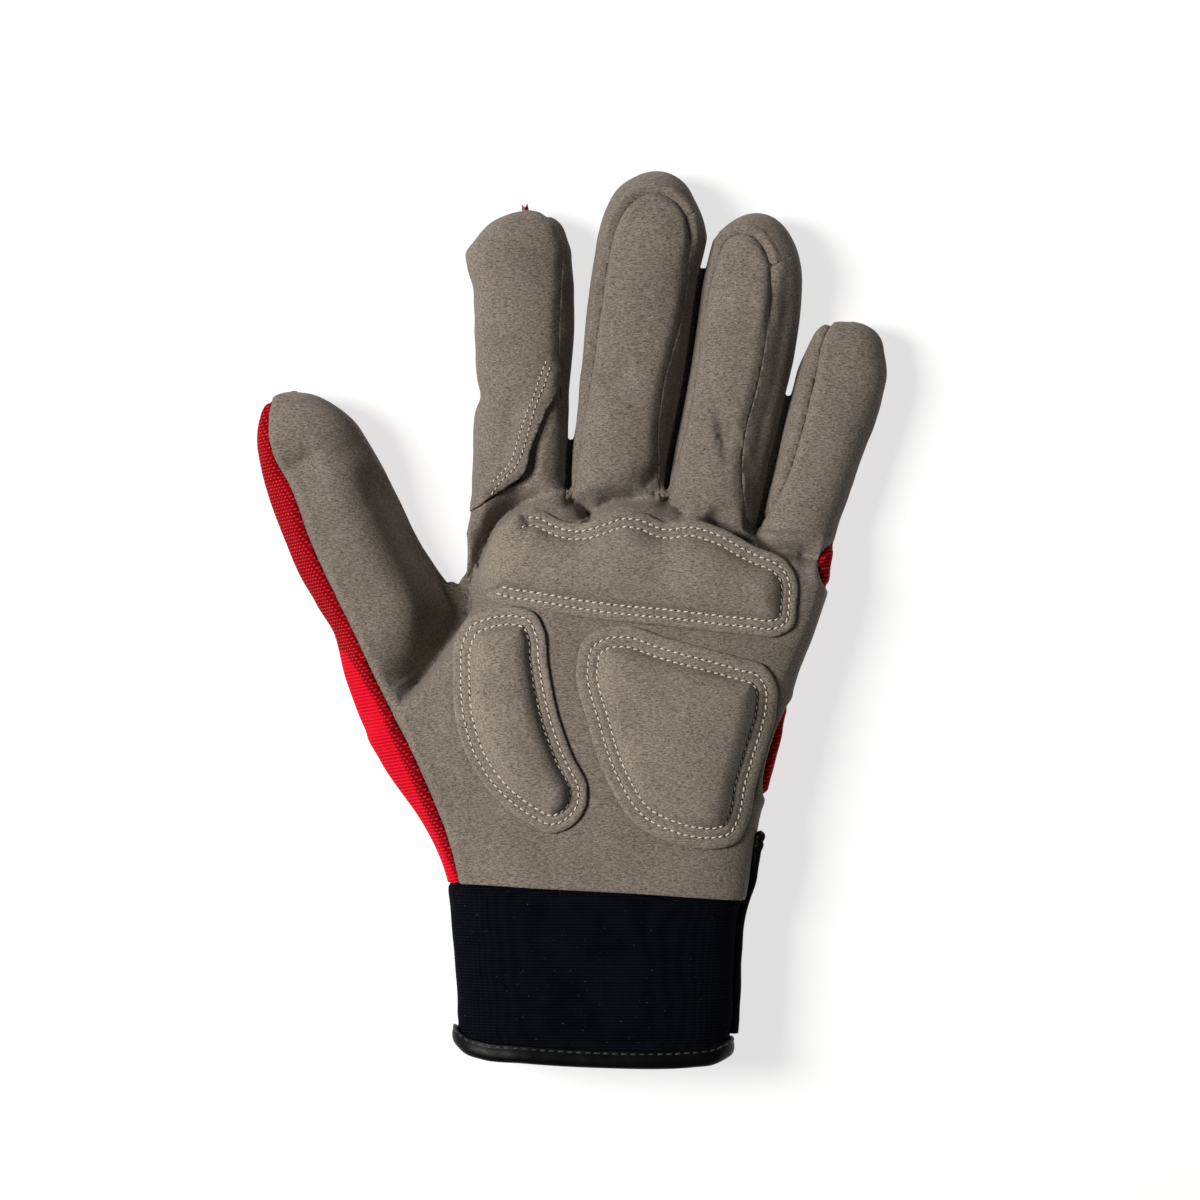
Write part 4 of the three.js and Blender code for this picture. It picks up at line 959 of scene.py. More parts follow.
def fall_away(points):
    """Extra lowering to the right of three fingers' right seams, where the side turns down."""
    total = np.zeros(len(points))
    x, y = points[:, 0], points[:, 1]
    for line, form in zip((index_side, middle_right, ring_right), DIGIT_FORMS):
        side = form.side(x, y)
        near = np.flatnonzero((side > 0) & (side < 1.15) & (y > line[-1, 1] - 2) & (y < line[0, 1] + 3))
        if not len(near):
            continue
        away = plan_distance(points[near], line, False)
        seam_x = np.interp(-y[near], -line[:, 1], line[:, 0])
        away *= np.where(x[near] > seam_x, 1, -1)
        ends = ramp(line[0, 1] - y[near], -1.0, 12.0) * ramp(y[near] - line[-1, 1], -1.0, 10.0)
        total[near] += FALL * ramp(away, FALL_FROM, FALL_TO) * ends * rising(points[near, 2])
    return total


def facing_gap(points):
    """1 on sides that almost touch a neighbouring finger, 0 elsewhere."""
    away = np.sort([np.abs(form.field(*points.T)) for form in DIGIT_FORMS[:4]], axis=0)[1]
    return (1 - ramp(away, 1.6, 4.5)) * ramp(points[:, 1], PALM_LENGTH - 8, PALM_LENGTH)


# How the cloth lies at its seams, in millimetres: heights, and how wide each one spreads.
GROOVE, GROOVE_WIDTH = 0.95, 0.8
PUFF, PUFF_UNEVEN, PUFF_AT, PUFF_WIDTH = 0.34, 0.16, 2.6, 1.4
PUCKER, PUCKER_WIDTH = 0.14, 3.5
RIDGE, RIDGE_AT, RIDGE_GROOVE, RIDGE_GROOVE_WIDTH = 0.40, 2.9, 0.30, 0.55
LAP_STEP, LAP_CORNER_LIFT, LAP_TUCK, LAP_CORNER_TUCK = 1.0, 0.9, 0.35, 1.6
ROW_DEPTH, ROW_WIDTH = 0.30, 0.55
PAD_PRESS = 1.2
WRIST_PUFF, WRIST_PUFF_WIDTH = 0.55, 3.0
# The part of a finger's right seam that is only a soft groove starts at these points of its line.
MIDDLE_SOFT_FROM, RING_SOFT_FROM, SOFT_WIDTH = 16, 26, 6.0


def sewn(points, slope, label, trees):
    """Moves a panel's skin: sunk and puckered at its seams, folded, uneven, pressed under the pads."""
    seam_away = tree_distance(points, trees[0], 9.0)
    push = sag(points)
    free = np.ones(len(points))
    from_above = ramp(slope[:, 2], -0.1, 0.5)
    soft = (index_side, middle_right[MIDDLE_SOFT_FROM:], ring_right[RING_SOFT_FROM:])
    away = [plan_distance(points, line, False) for line in soft]
    falling = bell(np.min(away, axis=0), SOFT_WIDTH) * from_above
    push -= GROOVE * (1 - 0.95 * falling) * bell(seam_away, GROOVE_WIDTH)
    puff = (PUFF + PUFF_UNEVEN * lumps(points, 6.0, 21)) * (0.35 + 0.65 * from_above) * (1 - 0.8 * falling)
    push += puff * bell(seam_away - PUFF_AT, PUFF_WIDTH)
    push += PUCKER * lumps(points, 3.6, 22) * bell(seam_away, PUCKER_WIDTH)
    if label in (3, 4):
        for line in RIDGED:
            near = (points[:, 2] > SEAM_HEIGHT) & (slope[:, 2] > 0.1)
            away = np.where(near, plan_distance(points, line, closed=False), 20.0)
            kept = ramp(np.linalg.norm(points[:, :2] - line[-1], axis=1), 0.0, 10.0)
            push += kept * RIDGE * (1 - ramp(away, 1.9, 3.0)) * ramp(away, 0.4, 1.2)
            push -= kept * RIDGE_GROOVE * bell(away - RIDGE_AT, RIDGE_GROOVE_WIDTH)
    if label in (0, 2):
        lap_away = tree_distance(points, trees[1], 8.0)
        if label == 2:
            lap = (LAP_STEP + LAP_CORNER_LIFT * lifted(points)) * (1 - ramp(lap_away, 2.5, 7.5))
            push += lap * ramp(slope[:, 2], 0.25, 0.8)
            for line in lap_rows:
                push -= ROW_DEPTH * bell(plan_distance(points, line, closed=False), ROW_WIDTH)
        else:
            push -= (LAP_TUCK + LAP_CORNER_TUCK * lifted(points)) * (1 - ramp(lap_away, 0.5, 4.5))
    if label == 0:
        for pad in PADS:
            inside = -plan_distance(points, pad["line"])
            under = ramp(inside, -0.5, 2.5)
            pressed = push * (1 - under) + (sag(points) - PAD_PRESS) * under
            push = np.where(points[:, 2] > SEAM_HEIGHT, pressed, push)
            loose = np.minimum(free, 1 - under * (1 - bare_share(pad, points)))
            free = np.where(points[:, 2] > SEAM_HEIGHT, loose, free)
        wrist_away = points[:, 1] - wrist_at(points[:, 0])
        push += WRIST_PUFF * bell(wrist_away, WRIST_PUFF_WIDTH) * ramp(slope[:, 2], -0.2, 0.6)
    push -= np.maximum(push, 0) * facing_gap(points)
    push *= ramp(points[:, 2], 0.3, 5.0) * 0.9 + 0.1
    moved = points + slope * push[:, None]
    if label != BACK:
        moved[:, 2] -= fall_away(points)
    moved[:, 2] -= fold_depth(points) * free
    return moved


# Meshes

def make_mesh(name, points, faces, material, sharp_faces=None):
    """A smooth-shaded mesh object in the frame, from points in millimetres; none lies under the floor."""
    mesh = bpy.data.meshes.new(name)
    faces = np.asarray(faces)
    place = (points + TO_FRAME) * MM
    place[:, 2] = np.maximum(place[:, 2], 0.0)
    mesh.vertices.add(len(points))
    mesh.vertices.foreach_set("co", place.astype(np.float32).ravel())
    mesh.loops.add(faces.size)
    mesh.loops.foreach_set("vertex_index", faces.astype(np.int32).ravel())
    mesh.polygons.add(len(faces))
    starts = np.arange(0, faces.size, faces.shape[1], dtype=np.int32)
    mesh.polygons.foreach_set("loop_start", starts)
    smooth = np.ones(len(faces), bool)
    if sharp_faces is not None:
        smooth[sharp_faces] = False
    mesh.polygons.foreach_set("use_smooth", smooth)
    mesh.update(calc_edges=True)
    mesh.validate()
    mesh.materials.append(material)
    item = bpy.data.objects.new(name, mesh)
    bpy.context.scene.collection.objects.link(item)
    return item


def border(tris):
    """Directed edges with a face on one side only."""
    edges = edges_of(tris)
    top = edges.max() + 1
    code = edges[:, 0].astype(np.int64) * top + edges[:, 1]
    back = edges[:, 1].astype(np.int64) * top + edges[:, 0]
    return edges[~np.isin(code, back)]


def thicken(outer, inner, tris):
    """A closed body between two skins that share their triangles."""
    count = len(outer)
    rim = border(tris)
    a, b = rim[:, 0], rim[:, 1]
    sides = np.vstack([
        np.column_stack([b, a, a + count]),
        np.column_stack([b, a + count, b + count]),
    ])
    return np.vstack([outer, inner]), np.vstack([tris, tris[:, ::-1] + count, sides]), len(tris) * 2


def finish_piece(item, slot, *replaced):
    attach(item, "root")
    if replaced:
        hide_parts(*replaced)


# Materials

class Shader:
    """A few short calls for building a material's nodes."""

    def __init__(self, name, roughness, specular=0.3, sheen=0.0, sheen_tint=(1, 1, 1), sheen_rough=0.5):
        self.material = bpy.data.materials.new(name)
        self.material.use_nodes = True
        self.tree = self.material.node_tree
        self.surface = self.tree.nodes["Principled BSDF"]
        self.surface.inputs["Roughness"].default_value = roughness
        self.surface.inputs["Specular IOR Level"].default_value = specular
        self.surface.inputs["Sheen Weight"].default_value = sheen
        self.surface.inputs["Sheen Roughness"].default_value = sheen_rough
        self.surface.inputs["Sheen Tint"].default_value = (*sheen_tint, 1)

    def node(self, kind, settings=None, **inputs):
        item = self.tree.nodes.new(kind)
        for key, value in (settings or {}).items():
            setattr(item, key, value)
        for key, value in inputs.items():
            key = key.replace("_", " ")
            socket = item.inputs[int(key[1:])] if key[1:].isdigit() else item.inputs[key]
            if isinstance(value, bpy.types.NodeSocket):
                self.tree.links.new(value, socket)
            else:
                socket.default_value = value
        return item

    def place(self, stretch=(1, 1, 1), turn=(0, 0, 0)):
        """Place on the object in millimetres, turned and stretched."""
        spot = self.node("ShaderNodeTexCoord").outputs["Object"]
        scale = tuple(1000 * s for s in stretch)
        turned = self.node("ShaderNodeMapping", {"vector_type": "POINT"}, Vector=spot, Rotation=turn)
        return self.node("ShaderNodeMapping", {}, Vector=turned.outputs[0], Scale=scale).outputs[0]

    def noise(self, spot, scale, detail=2.0, rough=0.5):
        """Soft noise; the scale is in features for each millimetre."""
        made = self.node("ShaderNodeTexNoise", {}, Vector=spot, Scale=scale, Detail=detail, Roughness=rough)
        return made.outputs[0]

    def maths(self, kind, one, two=0.0, three=None):
        item = self.node("ShaderNodeMath", {"operation": kind}, i0=one, i1=two)
        if three is not None:
            item.inputs[2].default_value = three
        return item.outputs[0]

    def add(self, one, two):
        return self.maths("ADD", one, two)

    def times(self, one, two):
        return self.maths("MULTIPLY", one, two)

    def parts(self, spot):
        return self.node("ShaderNodeSeparateXYZ", {}, Vector=spot).outputs

    def fit(self, value, low, high, new_low, new_high):
        item = self.node("ShaderNodeMapRange", {"clamp": True}, Value=value, From_Min=low, From_Max=high,
                         To_Min=new_low, To_Max=new_high)
        return item.outputs[0]

    def blend(self, share, dark, light):
        item = self.node("ShaderNodeMix", {"data_type": "RGBA"})
        for socket, value in ((item.inputs[0], share), (item.inputs[6], dark), (item.inputs[7], light)):
            if isinstance(value, bpy.types.NodeSocket):
                self.tree.links.new(value, socket)
            else:
                socket.default_value = value if isinstance(value, float) else (*value, 1)
        return item.outputs[2]

    def colour(self, socket):
        self.tree.links.new(socket, self.surface.inputs["Base Color"])

    def rough(self, socket):
        self.tree.links.new(socket, self.surface.inputs["Roughness"])

    def bump(self, height, distance, strength=1.0):
        made = self.node("ShaderNodeBump", {}, Height=height, Distance=distance * MM, Strength=strength)
        self.tree.links.new(made.outputs[0], self.surface.inputs["Normal"])


def grey(value, tint=(1, 1, 1)):
    return tuple(value * t for t in tint)


# Microsuede: how its flecks lie, and shares of its colour in the nap and in the wide blotches.
FLECK_STRETCH = (0.5, 1.35, 1.0)
FLECK_SHARE = 0.62
NAP_DARK, NAP_LIGHT = 0.40, 1.60
BLOTCH_DARK, BLOTCH_LIGHT = 0.90, 1.08
SUEDE_SHEEN = (1.0, 0.94, 0.88)
SUEDE_BUMP = 0.14


def suede(name, colour, seed):
    """Microsuede: short flecks lying across the hand, fine grain and soft blotches."""
    look = Shader(name, 0.92, 0.10, 0.10, SUEDE_SHEEN, 0.55)
    spot = look.place(FLECK_STRETCH)
    even = look.place()
    fleck = look.noise(spot, 1.9, 3.0, 0.62)
    grain = look.noise(even, 3.0, 2.0, 0.6)
    blotch = look.noise(even, 0.055 + 0.004 * seed, 3.0, 0.5)
    mixed = look.add(look.times(fleck, FLECK_SHARE), look.times(grain, 1 - FLECK_SHARE))
    share = look.fit(mixed, 0.36, 0.64, 0.0, 1.0)
    base = look.blend(share, grey(NAP_DARK, colour), grey(NAP_LIGHT, colour))
    wide = look.fit(blotch, 0.3, 0.7, 0.0, 1.0)
    shade = look.blend(wide, grey(BLOTCH_DARK), grey(BLOTCH_LIGHT))
    item = look.node("ShaderNodeMix", {"data_type": "RGBA", "blend_type": "MULTIPLY"})
    item.inputs[0].default_value = 1.0
    look.tree.links.new(base, item.inputs[6])
    look.tree.links.new(shade, item.inputs[7])
    look.colour(item.outputs[2])
    look.bump(mixed, SUEDE_BUMP, 0.7)
    return look.material


# Red cloth: where the thumb's seam runs in plan (mm), and the pitch and lean of its yarns and ribs.
SEAM_SLOPE, SEAM_START = -0.46, -62.6
YARN_PITCH, RIB_PITCH, RIB_LEAN = 1.25, 0.98, -0.2
RIB_COLOURS = (0.30, 0.0015, 0.006), (0.74, 0.006, 0.024)
# The dotted mesh's colours, far darker than the ribs': partly the weave's own colour, partly painted shade
# of the strip along the thumb's side.
MESH_AND_SHADE_COLOURS = (0.12, 0.0006, 0.0018), (0.38, 0.003, 0.010)
DOT_COLOUR = (0.74, 0.06, 0.07)


def red_cloth(name):
    """Stretch cloth: dotted mesh along the palm's seam and up the thumb, close ribs beyond it; the mesh's
    darker colour is partly its own and partly painted shade of the red strip along the thumb.
    """
    look = Shader(name, 0.80, 0.04, 0.0)
    x, y, z = look.parts(look.place())
    seam_x = look.maths("MULTIPLY_ADD", y, SEAM_SLOPE, SEAM_START)
    away = look.times(look.maths("SUBTRACT", seam_x, x), 0.91)
    away = look.add(away, look.times(look.noise(look.place(), 0.12), 0.8))
    # Higher up near the seam, and all the way up the thumb, the darker mesh takes over: partly where the
    # weave lies, partly painted shade by height and place.
    away = look.add(away, look.fit(z, 13.5, 4.0, 0.0, 9.0))
    reach = look.fit(y, -22.0, 12.0, 3.0, 8.5)
    reach = look.add(reach, look.fit(y, -10.0, 4.0, 0.0, 30.0))
    mesh = look.fit(look.maths("SUBTRACT", away, reach), -0.5, 0.5, 1.0, 0.0)
    across = look.times(look.add(x, z), 1.41 * math.pi / YARN_PITCH)
    along = look.times(look.add(look.times(x, RIB_LEAN), y), 2 * math.pi / RIB_PITCH)
    rib = look.maths("SINE", along)
    row = look.maths("FLOOR", look.maths("DIVIDE", look.add(along, math.pi / 2), 2 * math.pi))
    offset = look.times(look.maths("MODULO", row, 2.0), math.pi)
    yarn = look.maths("SINE", look.add(across, offset))
    yarn_part = look.fit(mesh, 0.0, 1.0, 0.12, 0.42)
    height = look.add(look.times(rib, 0.6), look.times(yarn, yarn_part))
    uneven = look.noise(look.place(), 0.6, 2.0)
    height = look.add(height, look.times(uneven, 0.5))
    share = look.fit(height, -0.6, 0.9, 0.0, 1.0)
    ribbed = look.blend(share, *RIB_COLOURS)
    mesh_and_shade_colour = look.blend(share, *MESH_AND_SHADE_COLOURS)
    dots = look.fit(height, 0.92, 1.2, 0.0, 0.7)
    mesh_and_shade_colour = look.blend(dots, mesh_and_shade_colour, DOT_COLOUR)
    look.colour(look.blend(mesh, ribbed, mesh_and_shade_colour))
    look.bump(height, 0.18, 1.0)
    return look.material


# Knit facing: the size of its loops (mm), and the colour of its lint.
LOOP_WIDTH, LOOP_HEIGHT = 0.62, 0.85
LINT = (0.10, 0.10, 0.12)


def knit(name, dark, light):
    """Neoprene faced with a fine knit: rows of small loops, with pale specks of lint."""
    look = Shader(name, 0.85, 0.02, 0.012, (0.55, 0.6, 0.8), 0.4)
    spot = look.place()
    sizes = (LOOP_WIDTH, LOOP_HEIGHT, LOOP_WIDTH)
    x, y, z = (look.times(part, 2 * math.pi / size) for part, size in zip(look.parts(spot), sizes))
    wave = look.add(look.maths("SINE", x), look.maths("SINE", z))
    height = look.add(look.times(wave, 0.35), look.maths("SINE", y))
    uneven = look.noise(spot, 0.9, 3.0, 0.6)
    height = look.add(height, look.times(uneven, 1.2))
    height = look.add(height, look.times(look.noise(spot, 0.2), 1.6))
    share = look.fit(height, 0.0, 2.6, 0.0, 1.0)
    base = look.blend(share, dark, light)
    speck = look.fit(look.noise(spot, 1.7, 1.0, 0.5), 0.765, 0.80, 0.0, 0.5)
    look.colour(look.blend(speck, base, LINT))
    look.bump(height, 0.08, 0.6)
    return look.material


def tape(name, colour, rough=0.5):
    """Smooth folded tape with a faint grain."""
    look = Shader(name, rough, 0.09, 0.0)
    grain = look.noise(look.place(), 2.2, 3.0, 0.6)
    look.colour(look.blend(look.fit(grain, 0.3, 0.7, 0.0, 1.0), grey(0.7, colour), grey(1.4, colour)))
    look.rough(look.fit(grain, 0.3, 0.7, rough - 0.08, rough + 0.12))
    look.bump(grain, 0.06, 0.5)
    return look.material


def thread(name, colour, rough=0.6):
    look = Shader(name, rough, 0.35, 0.2, (1, 1, 1), 0.4)
    grain = look.noise(look.place(), 3.0, 2.0, 0.6)
    look.colour(look.blend(look.fit(grain, 0.3, 0.7, 0.0, 1.0), grey(0.78, colour), grey(1.15, colour)))
    look.bump(grain, 0.05, 0.5)
    return look.material


PALM_LOOK = suede("palm_suede", (0.152, 0.128, 0.105), 0)
SIDE_LOOK = suede("side_suede", (0.144, 0.121, 0.100), 1)
PAD_LOOK = suede("pad_suede", (0.178, 0.151, 0.122), 2)
RED_LOOK = red_cloth("back_cloth")
KNIT_LOOK = knit("cuff_neoprene", (0.0006, 0.0007, 0.0014), (0.0035, 0.0040, 0.0075))
TAPE_LOOK = tape("edge_binding", (0.0010, 0.0010, 0.0013), 0.42)
STRAP_LOOK = knit("strap_webbing", (0.0015, 0.0015, 0.002), (0.007, 0.007, 0.008))
THREAD_LOOK = thread("seam_thread", (0.54, 0.49, 0.42))
DARK_THREAD_LOOK = thread("dark_thread", (0.02, 0.02, 0.022), 0.5)
# Near-black pieces laid between the stitches: painted shade in each needle hole.
HOLE_SHADE_LOOK = thread("painted_hole_shade", (0.018, 0.015, 0.013), 0.9)


# Pads

for pad in PADS:
    size = np.array([pad["width"], pad["length"]])
    places = on_palm(pad["at"], pad["across"]) + np.array(pad["outline"]) * size
    pad["line"] = smooth_line(places, 0.5, closed=True)

# A pillow's steepness where it is stitched, and what a turned-under end adds to it.
PILLOW_STEEP, BARE_STEEP = 0.42, 0.5
# A pad's cloth, its crown above the pillow, and the dips at its edge, rows and between them.
PAD_CLOTH = 1.25
PAD_CROWN, PAD_CROWN_REACH = 0.9, 7.0
PAD_EDGE_DIP, PAD_EDGE_WIDTH = 0.35, 0.45
PAD_ROW_DIP, PAD_ROW_WIDTH = 0.34, 0.55
PAD_BETWEEN, PAD_BETWEEN_WIDTH = 0.16, 0.7


def bare_share(pad, points):
    """1 at a pad's end that is turned under without stitches, 0 elsewhere."""
    if "bare" not in pad:
        return np.zeros(len(points))
    limit, lean = pad["bare"]
    centre = on_palm(pad["at"], pad["across"])
    across = (points[:, 0] - centre[0]) / pad["width"]
    along = (points[:, 1] - centre[1]) / pad["length"]
    return 1 - ramp(across - limit - lean * along, -0.04, 0.03)


def pad_rise(pad, inside, bare):
    """Height of a pad's top above the palm, from how far inside its edge a point lies."""
    first, second = pad["rows"]
    start = (second + 0.1) * (1 - bare) + 0.3 * bare
    share = np.clip((inside - start) / (pad["shoulder"] * (1 - 0.35 * bare)), 0.0, 1.0)
    steep = PILLOW_STEEP + BARE_STEEP * bare
    rise = steep * np.sqrt(np.maximum(1 - (1 - share) ** 2.2, 0.0)) + (1 - steep) * (1 - (1 - share) ** 2)
    rise *= pad["bulge"]
    beyond = np.maximum(inside - start - pad["shoulder"] * 0.6, 0)
    rise += PAD_CROWN * (1 - np.exp(-beyond / PAD_CROWN_REACH))
    rise += PAD_CLOTH - PAD_EDGE_DIP * bell(inside, PAD_EDGE_WIDTH) * (1 + bare)
    for row in pad["rows"]:
        rise -= PAD_ROW_DIP * bell(inside - row, PAD_ROW_WIDTH) * (1 - bare)
    rise += PAD_BETWEEN * bell(inside - (first + second) / 2, PAD_BETWEEN_WIDTH) * (1 - bare)
    return rise


def make_pad(pad):
    line = pad["line"]
    low, high = line.min(axis=0) - 1.5, line.max(axis=0) + 1.5
    xs, ys = np.arange(low[0], high[0], PAD_STEP), np.arange(low[1], high[1], PAD_STEP)
    grid_x, grid_y = np.meshgrid(xs, ys, indexing="ij")
    plan = np.column_stack([grid_x.ravel(), grid_y.ravel(), np.zeros(grid_x.size)])
    tris = grid_faces(np.arange(grid_x.size).reshape(grid_x.shape))
    labels = np.zeros(len(tris), int)
    values = plan_distance(plan, line)
    plan, tris, labels, _ = split(plan, tris, labels, [0], values, 1)
    used, tris = compact(len(plan), tris[labels == 1])
    plan = plan[used]
    inside = np.maximum(-plan_distance(plan, line), 0)
    base = top_of(plan[:, 0], plan[:, 1])
    missing = np.isnan(base)
    base[missing] = np.nanmin(base)
    plan[:, 2] = base
    bare = bare_share(pad, plan)
    base = base + sag(plan) - bare * fold_depth(plan)
    top, under = plan.copy(), plan.copy()
    ripple = 0.10 * lumps(plan, 4.5, 31) * bell(inside - pad["rows"][1], 2.5)
    soft = 0.25 * lumps(plan, 14.0, 32) * ramp(inside, 6.0, 12.0)
    top[:, 2] = base + pad_rise(pad, inside, bare) + ripple + soft
    under[:, 2] = base - 0.15
    points, faces, rim = thicken(top, under, tris)
    item = make_mesh(pad["name"] + "_cover", points, faces, PAD_LOOK, slice(rim, None))
    finish_piece(item, "pad_suede", pad["name"])
    pad["tree"] = BVHTree.FromPolygons(top.tolist(), tris.tolist())


# Stitches

def thread_piece(radius=0.27, sides=6, rings=7):
    """One stitch from (0,0,0) to (1,0,0): an arched thread that dips at both ends."""
    points, faces = [], []
    for ring in range(rings):
        share = ring / (rings - 1)
        swell = math.sin(math.pi * (0.08 + 0.84 * share)) ** 0.5
        for side in range(sides):
            angle = 2 * math.pi * side / sides
            points.append((share, radius * swell * math.cos(angle), radius * swell * math.sin(angle)))
    for ring in range(rings - 1):
        for side in range(sides):
            a, b = ring * sides + side, ring * sides + (side + 1) % sides
            faces.append((a, b, b + sides))
            faces.append((a, b + sides, a + sides))
    first, last = len(points), len(points) + 1
    points += [(0.0, 0.0, 0.0), (1.0, 0.0, 0.0)]
    for side in range(sides):
        after = (side + 1) % sides
        end = (rings - 1) * sides
        faces.append((first, after, side))
        faces.append((last, end + side, end + after))
    return np.array(points), np.array(faces)


def stitch_mesh(name, rows, material, radius=0.27, lift=0.16, dip=0.32):
    """Stitches from a list of (start, end, up) triples in millimetres."""
    shape, faces = thread_piece(radius)
    points, tris = [], []
    for start, end, up in rows:
        start, end, up = np.array(start), np.array(end), np.array(up)
        way = end - start
        length = np.linalg.norm(way)
        way = way / length
        side = np.cross(up, way)
        side /= np.linalg.norm(side)
        up = np.cross(way, side)
        arch = lift - dip * (2 * shape[:, 0] - 1) ** 4
        place = (
            start
            + np.outer(shape[:, 0] * length, way)
            + np.outer(shape[:, 1], side)
            + np.outer(shape[:, 2] + arch, up)
        )
        tris.append(faces + len(points) * len(shape))
        points.append(place)
    finish_piece(make_mesh(name, np.vstack(points), np.vstack(tris), material), "seam_thread")


def inset_line(line, amount, step):
    """The closed line moved inwards in plan, evenly spaced."""
    area = np.sum(line[:, 0] * np.roll(line[:, 1], -1) - np.roll(line[:, 0], -1) * line[:, 1])
    way = np.roll(line, -1, axis=0) - np.roll(line, 1, axis=0)
    way /= np.linalg.norm(way, axis=1)[:, None]
    inward = np.column_stack([-way[:, 1], way[:, 0]]) * (1 if area > 0 else -1)
    moved = line + inward * amount
    kept = moved[-plan_distance(moved, line) > amount - 0.12]
    for _ in range(2):
        kept = (np.roll(kept, 1, axis=0) + 2 * kept + np.roll(kept, -1, axis=0)) / 4
    ring = np.vstack([kept, kept[:1]])
    total = running_length(ring)
    count = int(round(total[-1] / step))
    spots = np.linspace(0, total[-1], count + 1)[:-1]
    return np.column_stack([np.interp(spots, total, ring[:, k]) for k in range(2)])


def open_line(line, kept):
    """The kept stretch of a closed line, starting just after its gap."""
    first = next(k for k in range(len(line)) if kept[k] and not kept[k - 1])
    line, kept = np.roll(line, -first, axis=0), np.roll(kept, -first)
    return line[:np.argmin(kept)]


def drop(tree, x, y, height=60.0):
    """Point and slope of a surface straight below."""
    hit = tree.ray_cast(Vector((x, y, height)), Vector((0, 0, -1)))
    return (None, None) if hit[0] is None else (np.array(hit[0]), np.array(hit[1]))


def along_line(tree, line, fill, closed, draw, slant=0.13, wander=0.05):
    """Slanting stitches laid along a plan line on a surface, and dark pieces between them that paint the
    shade in each needle hole.
    """
    rows, hole_shades = [], []
    count = len(line)
    for number in range(count if closed else count - 1):
        here, there = line[number], line[(number + 1) % count]
        gap = there - here
        side = np.array([-gap[1], gap[0]]) / np.linalg.norm(gap)
        shift = side * draw.uniform(-wander, wander)
        a = here + gap * (0.5 - fill / 2) + shift - side * slant
        b = here + gap * (0.5 + fill / 2 + draw.uniform(-0.03, 0.03)) + shift + side * slant
        start, up_a = drop(tree, *a)
        end, up_b = drop(tree, *b)
        after, up_c = drop(tree, *(here + gap * (1.5 - fill / 2) + shift))
        if start is None or end is None or after is None:
            continue
        rows.append((start, end, up_a + up_b))
        # A dark piece from this stitch's end to the next one's start: painted shade in the needle hole.
        hole_shades.append((end, after, up_b + up_c))
    return rows, hole_shades


# Cuff, its bound mouth, the side binding and the closure strap

def power(value, corner):
    return np.sign(value) * np.abs(value) ** (2 / corner)


def cuff_place(angle, y, out):
    """A point on the cuff's outside at an angle and y, moved outwards."""
    at = -y / CUFF_LENGTH
    width = WRIST_WIDTH + (CUFF_MOUTH_WIDTH - WRIST_WIDTH) * np.clip(at, 0, 1)
    rows = np.array(CUFF_ROWS)
    left, right = (hermite(rows[:, 0], rows[:, k], at) for k in (1, 2))
    half, rise = (left + right) * width / 2, CUFF_DEPTH / 2
    u, v = power(np.cos(angle), CUFF_CORNER), power(np.sin(angle), CUFF_CORNER)
    slope = np.column_stack([
        np.sign(u) * np.abs(u) ** (CUFF_CORNER - 1) / half,
        np.zeros(len(u)),
        np.sign(v) * np.abs(v) ** (CUFF_CORNER - 1) / rise,
    ])
    slope /= np.linalg.norm(slope, axis=1)[:, None]
    x = CUFF_LEAN * y + (right - left) * width / 2 + half * u
    return np.column_stack([x, y, CUFF_LIFT + rise * (1 + v)]) + slope * np.reshape(out, (-1, 1))


def even_angles(count):
    """Angles that space points evenly round the cuff."""
    fine = np.linspace(0, 2 * math.pi, 6001)
    x = WRIST_WIDTH / 2 * power(np.cos(fine), CUFF_CORNER)
    z = CUFF_DEPTH / 2 * power(np.sin(fine), CUFF_CORNER)
    run = np.concatenate([[0], np.cumsum(np.hypot(np.diff(x), np.diff(z)))])
    return np.interp(np.linspace(0, run[-1], count + 1)[:-1], run, fine)


mouth_x = np.array([
    CUFF_LEAN * -along * CUFF_LENGTH + across * (CUFF_MOUTH_WIDTH + 2 * BINDING_THICKNESS)
    for across, along in MOUTH_LINE
])
mouth_y = np.array([-along * CUFF_LENGTH for _, along in MOUTH_LINE])


def mouth_at(x):
    return hermite(mouth_x, mouth_y, np.clip(x, mouth_x[0], mouth_x[-1]))


def ring_faces(rows, columns, closed_rows=False):
    """Triangles of a grid of rows that each run round a ring, facing outwards."""
    faces = []
    for row in range(rows if closed_rows else rows - 1):
        here, there = row * columns, (row + 1) % rows * columns
        a = here + np.arange(columns)
        b = here + (np.arange(columns) + 1) % columns
        c, d = b - here + there, a - here + there
        faces.append(np.column_stack([a, c, b]))
        faces.append(np.column_stack([a, d, c]))
    return np.vstack(faces)


CUFF_COLUMNS = 300
SETTLE_ROUNDS = 4
# The binding's row of stitches: height above the mouth's edge, out from the cuff, pitch.
BINDING_ROW_UP = 4.1
BINDING_ROW_OUT = 0.78
BINDING_PITCH = 2.5
# The cuff's soft swelling, the puckers under its wrist seam, and the press along the binding.
CUFF_SWELL, CUFF_UNEVEN, CUFF_PUCKER, CUFF_PRESS = 0.32, 0.10, 0.22, 0.35
# The hem tucked under the palm: up from the wrist seam, and out from the cuff.
CUFF_TUCK = ((3.2, -2.3), (1.2, -1.9), (0.2, -1.2), (-0.6, -0.5), (-1.5, -0.1), (-2.5, 0.0))


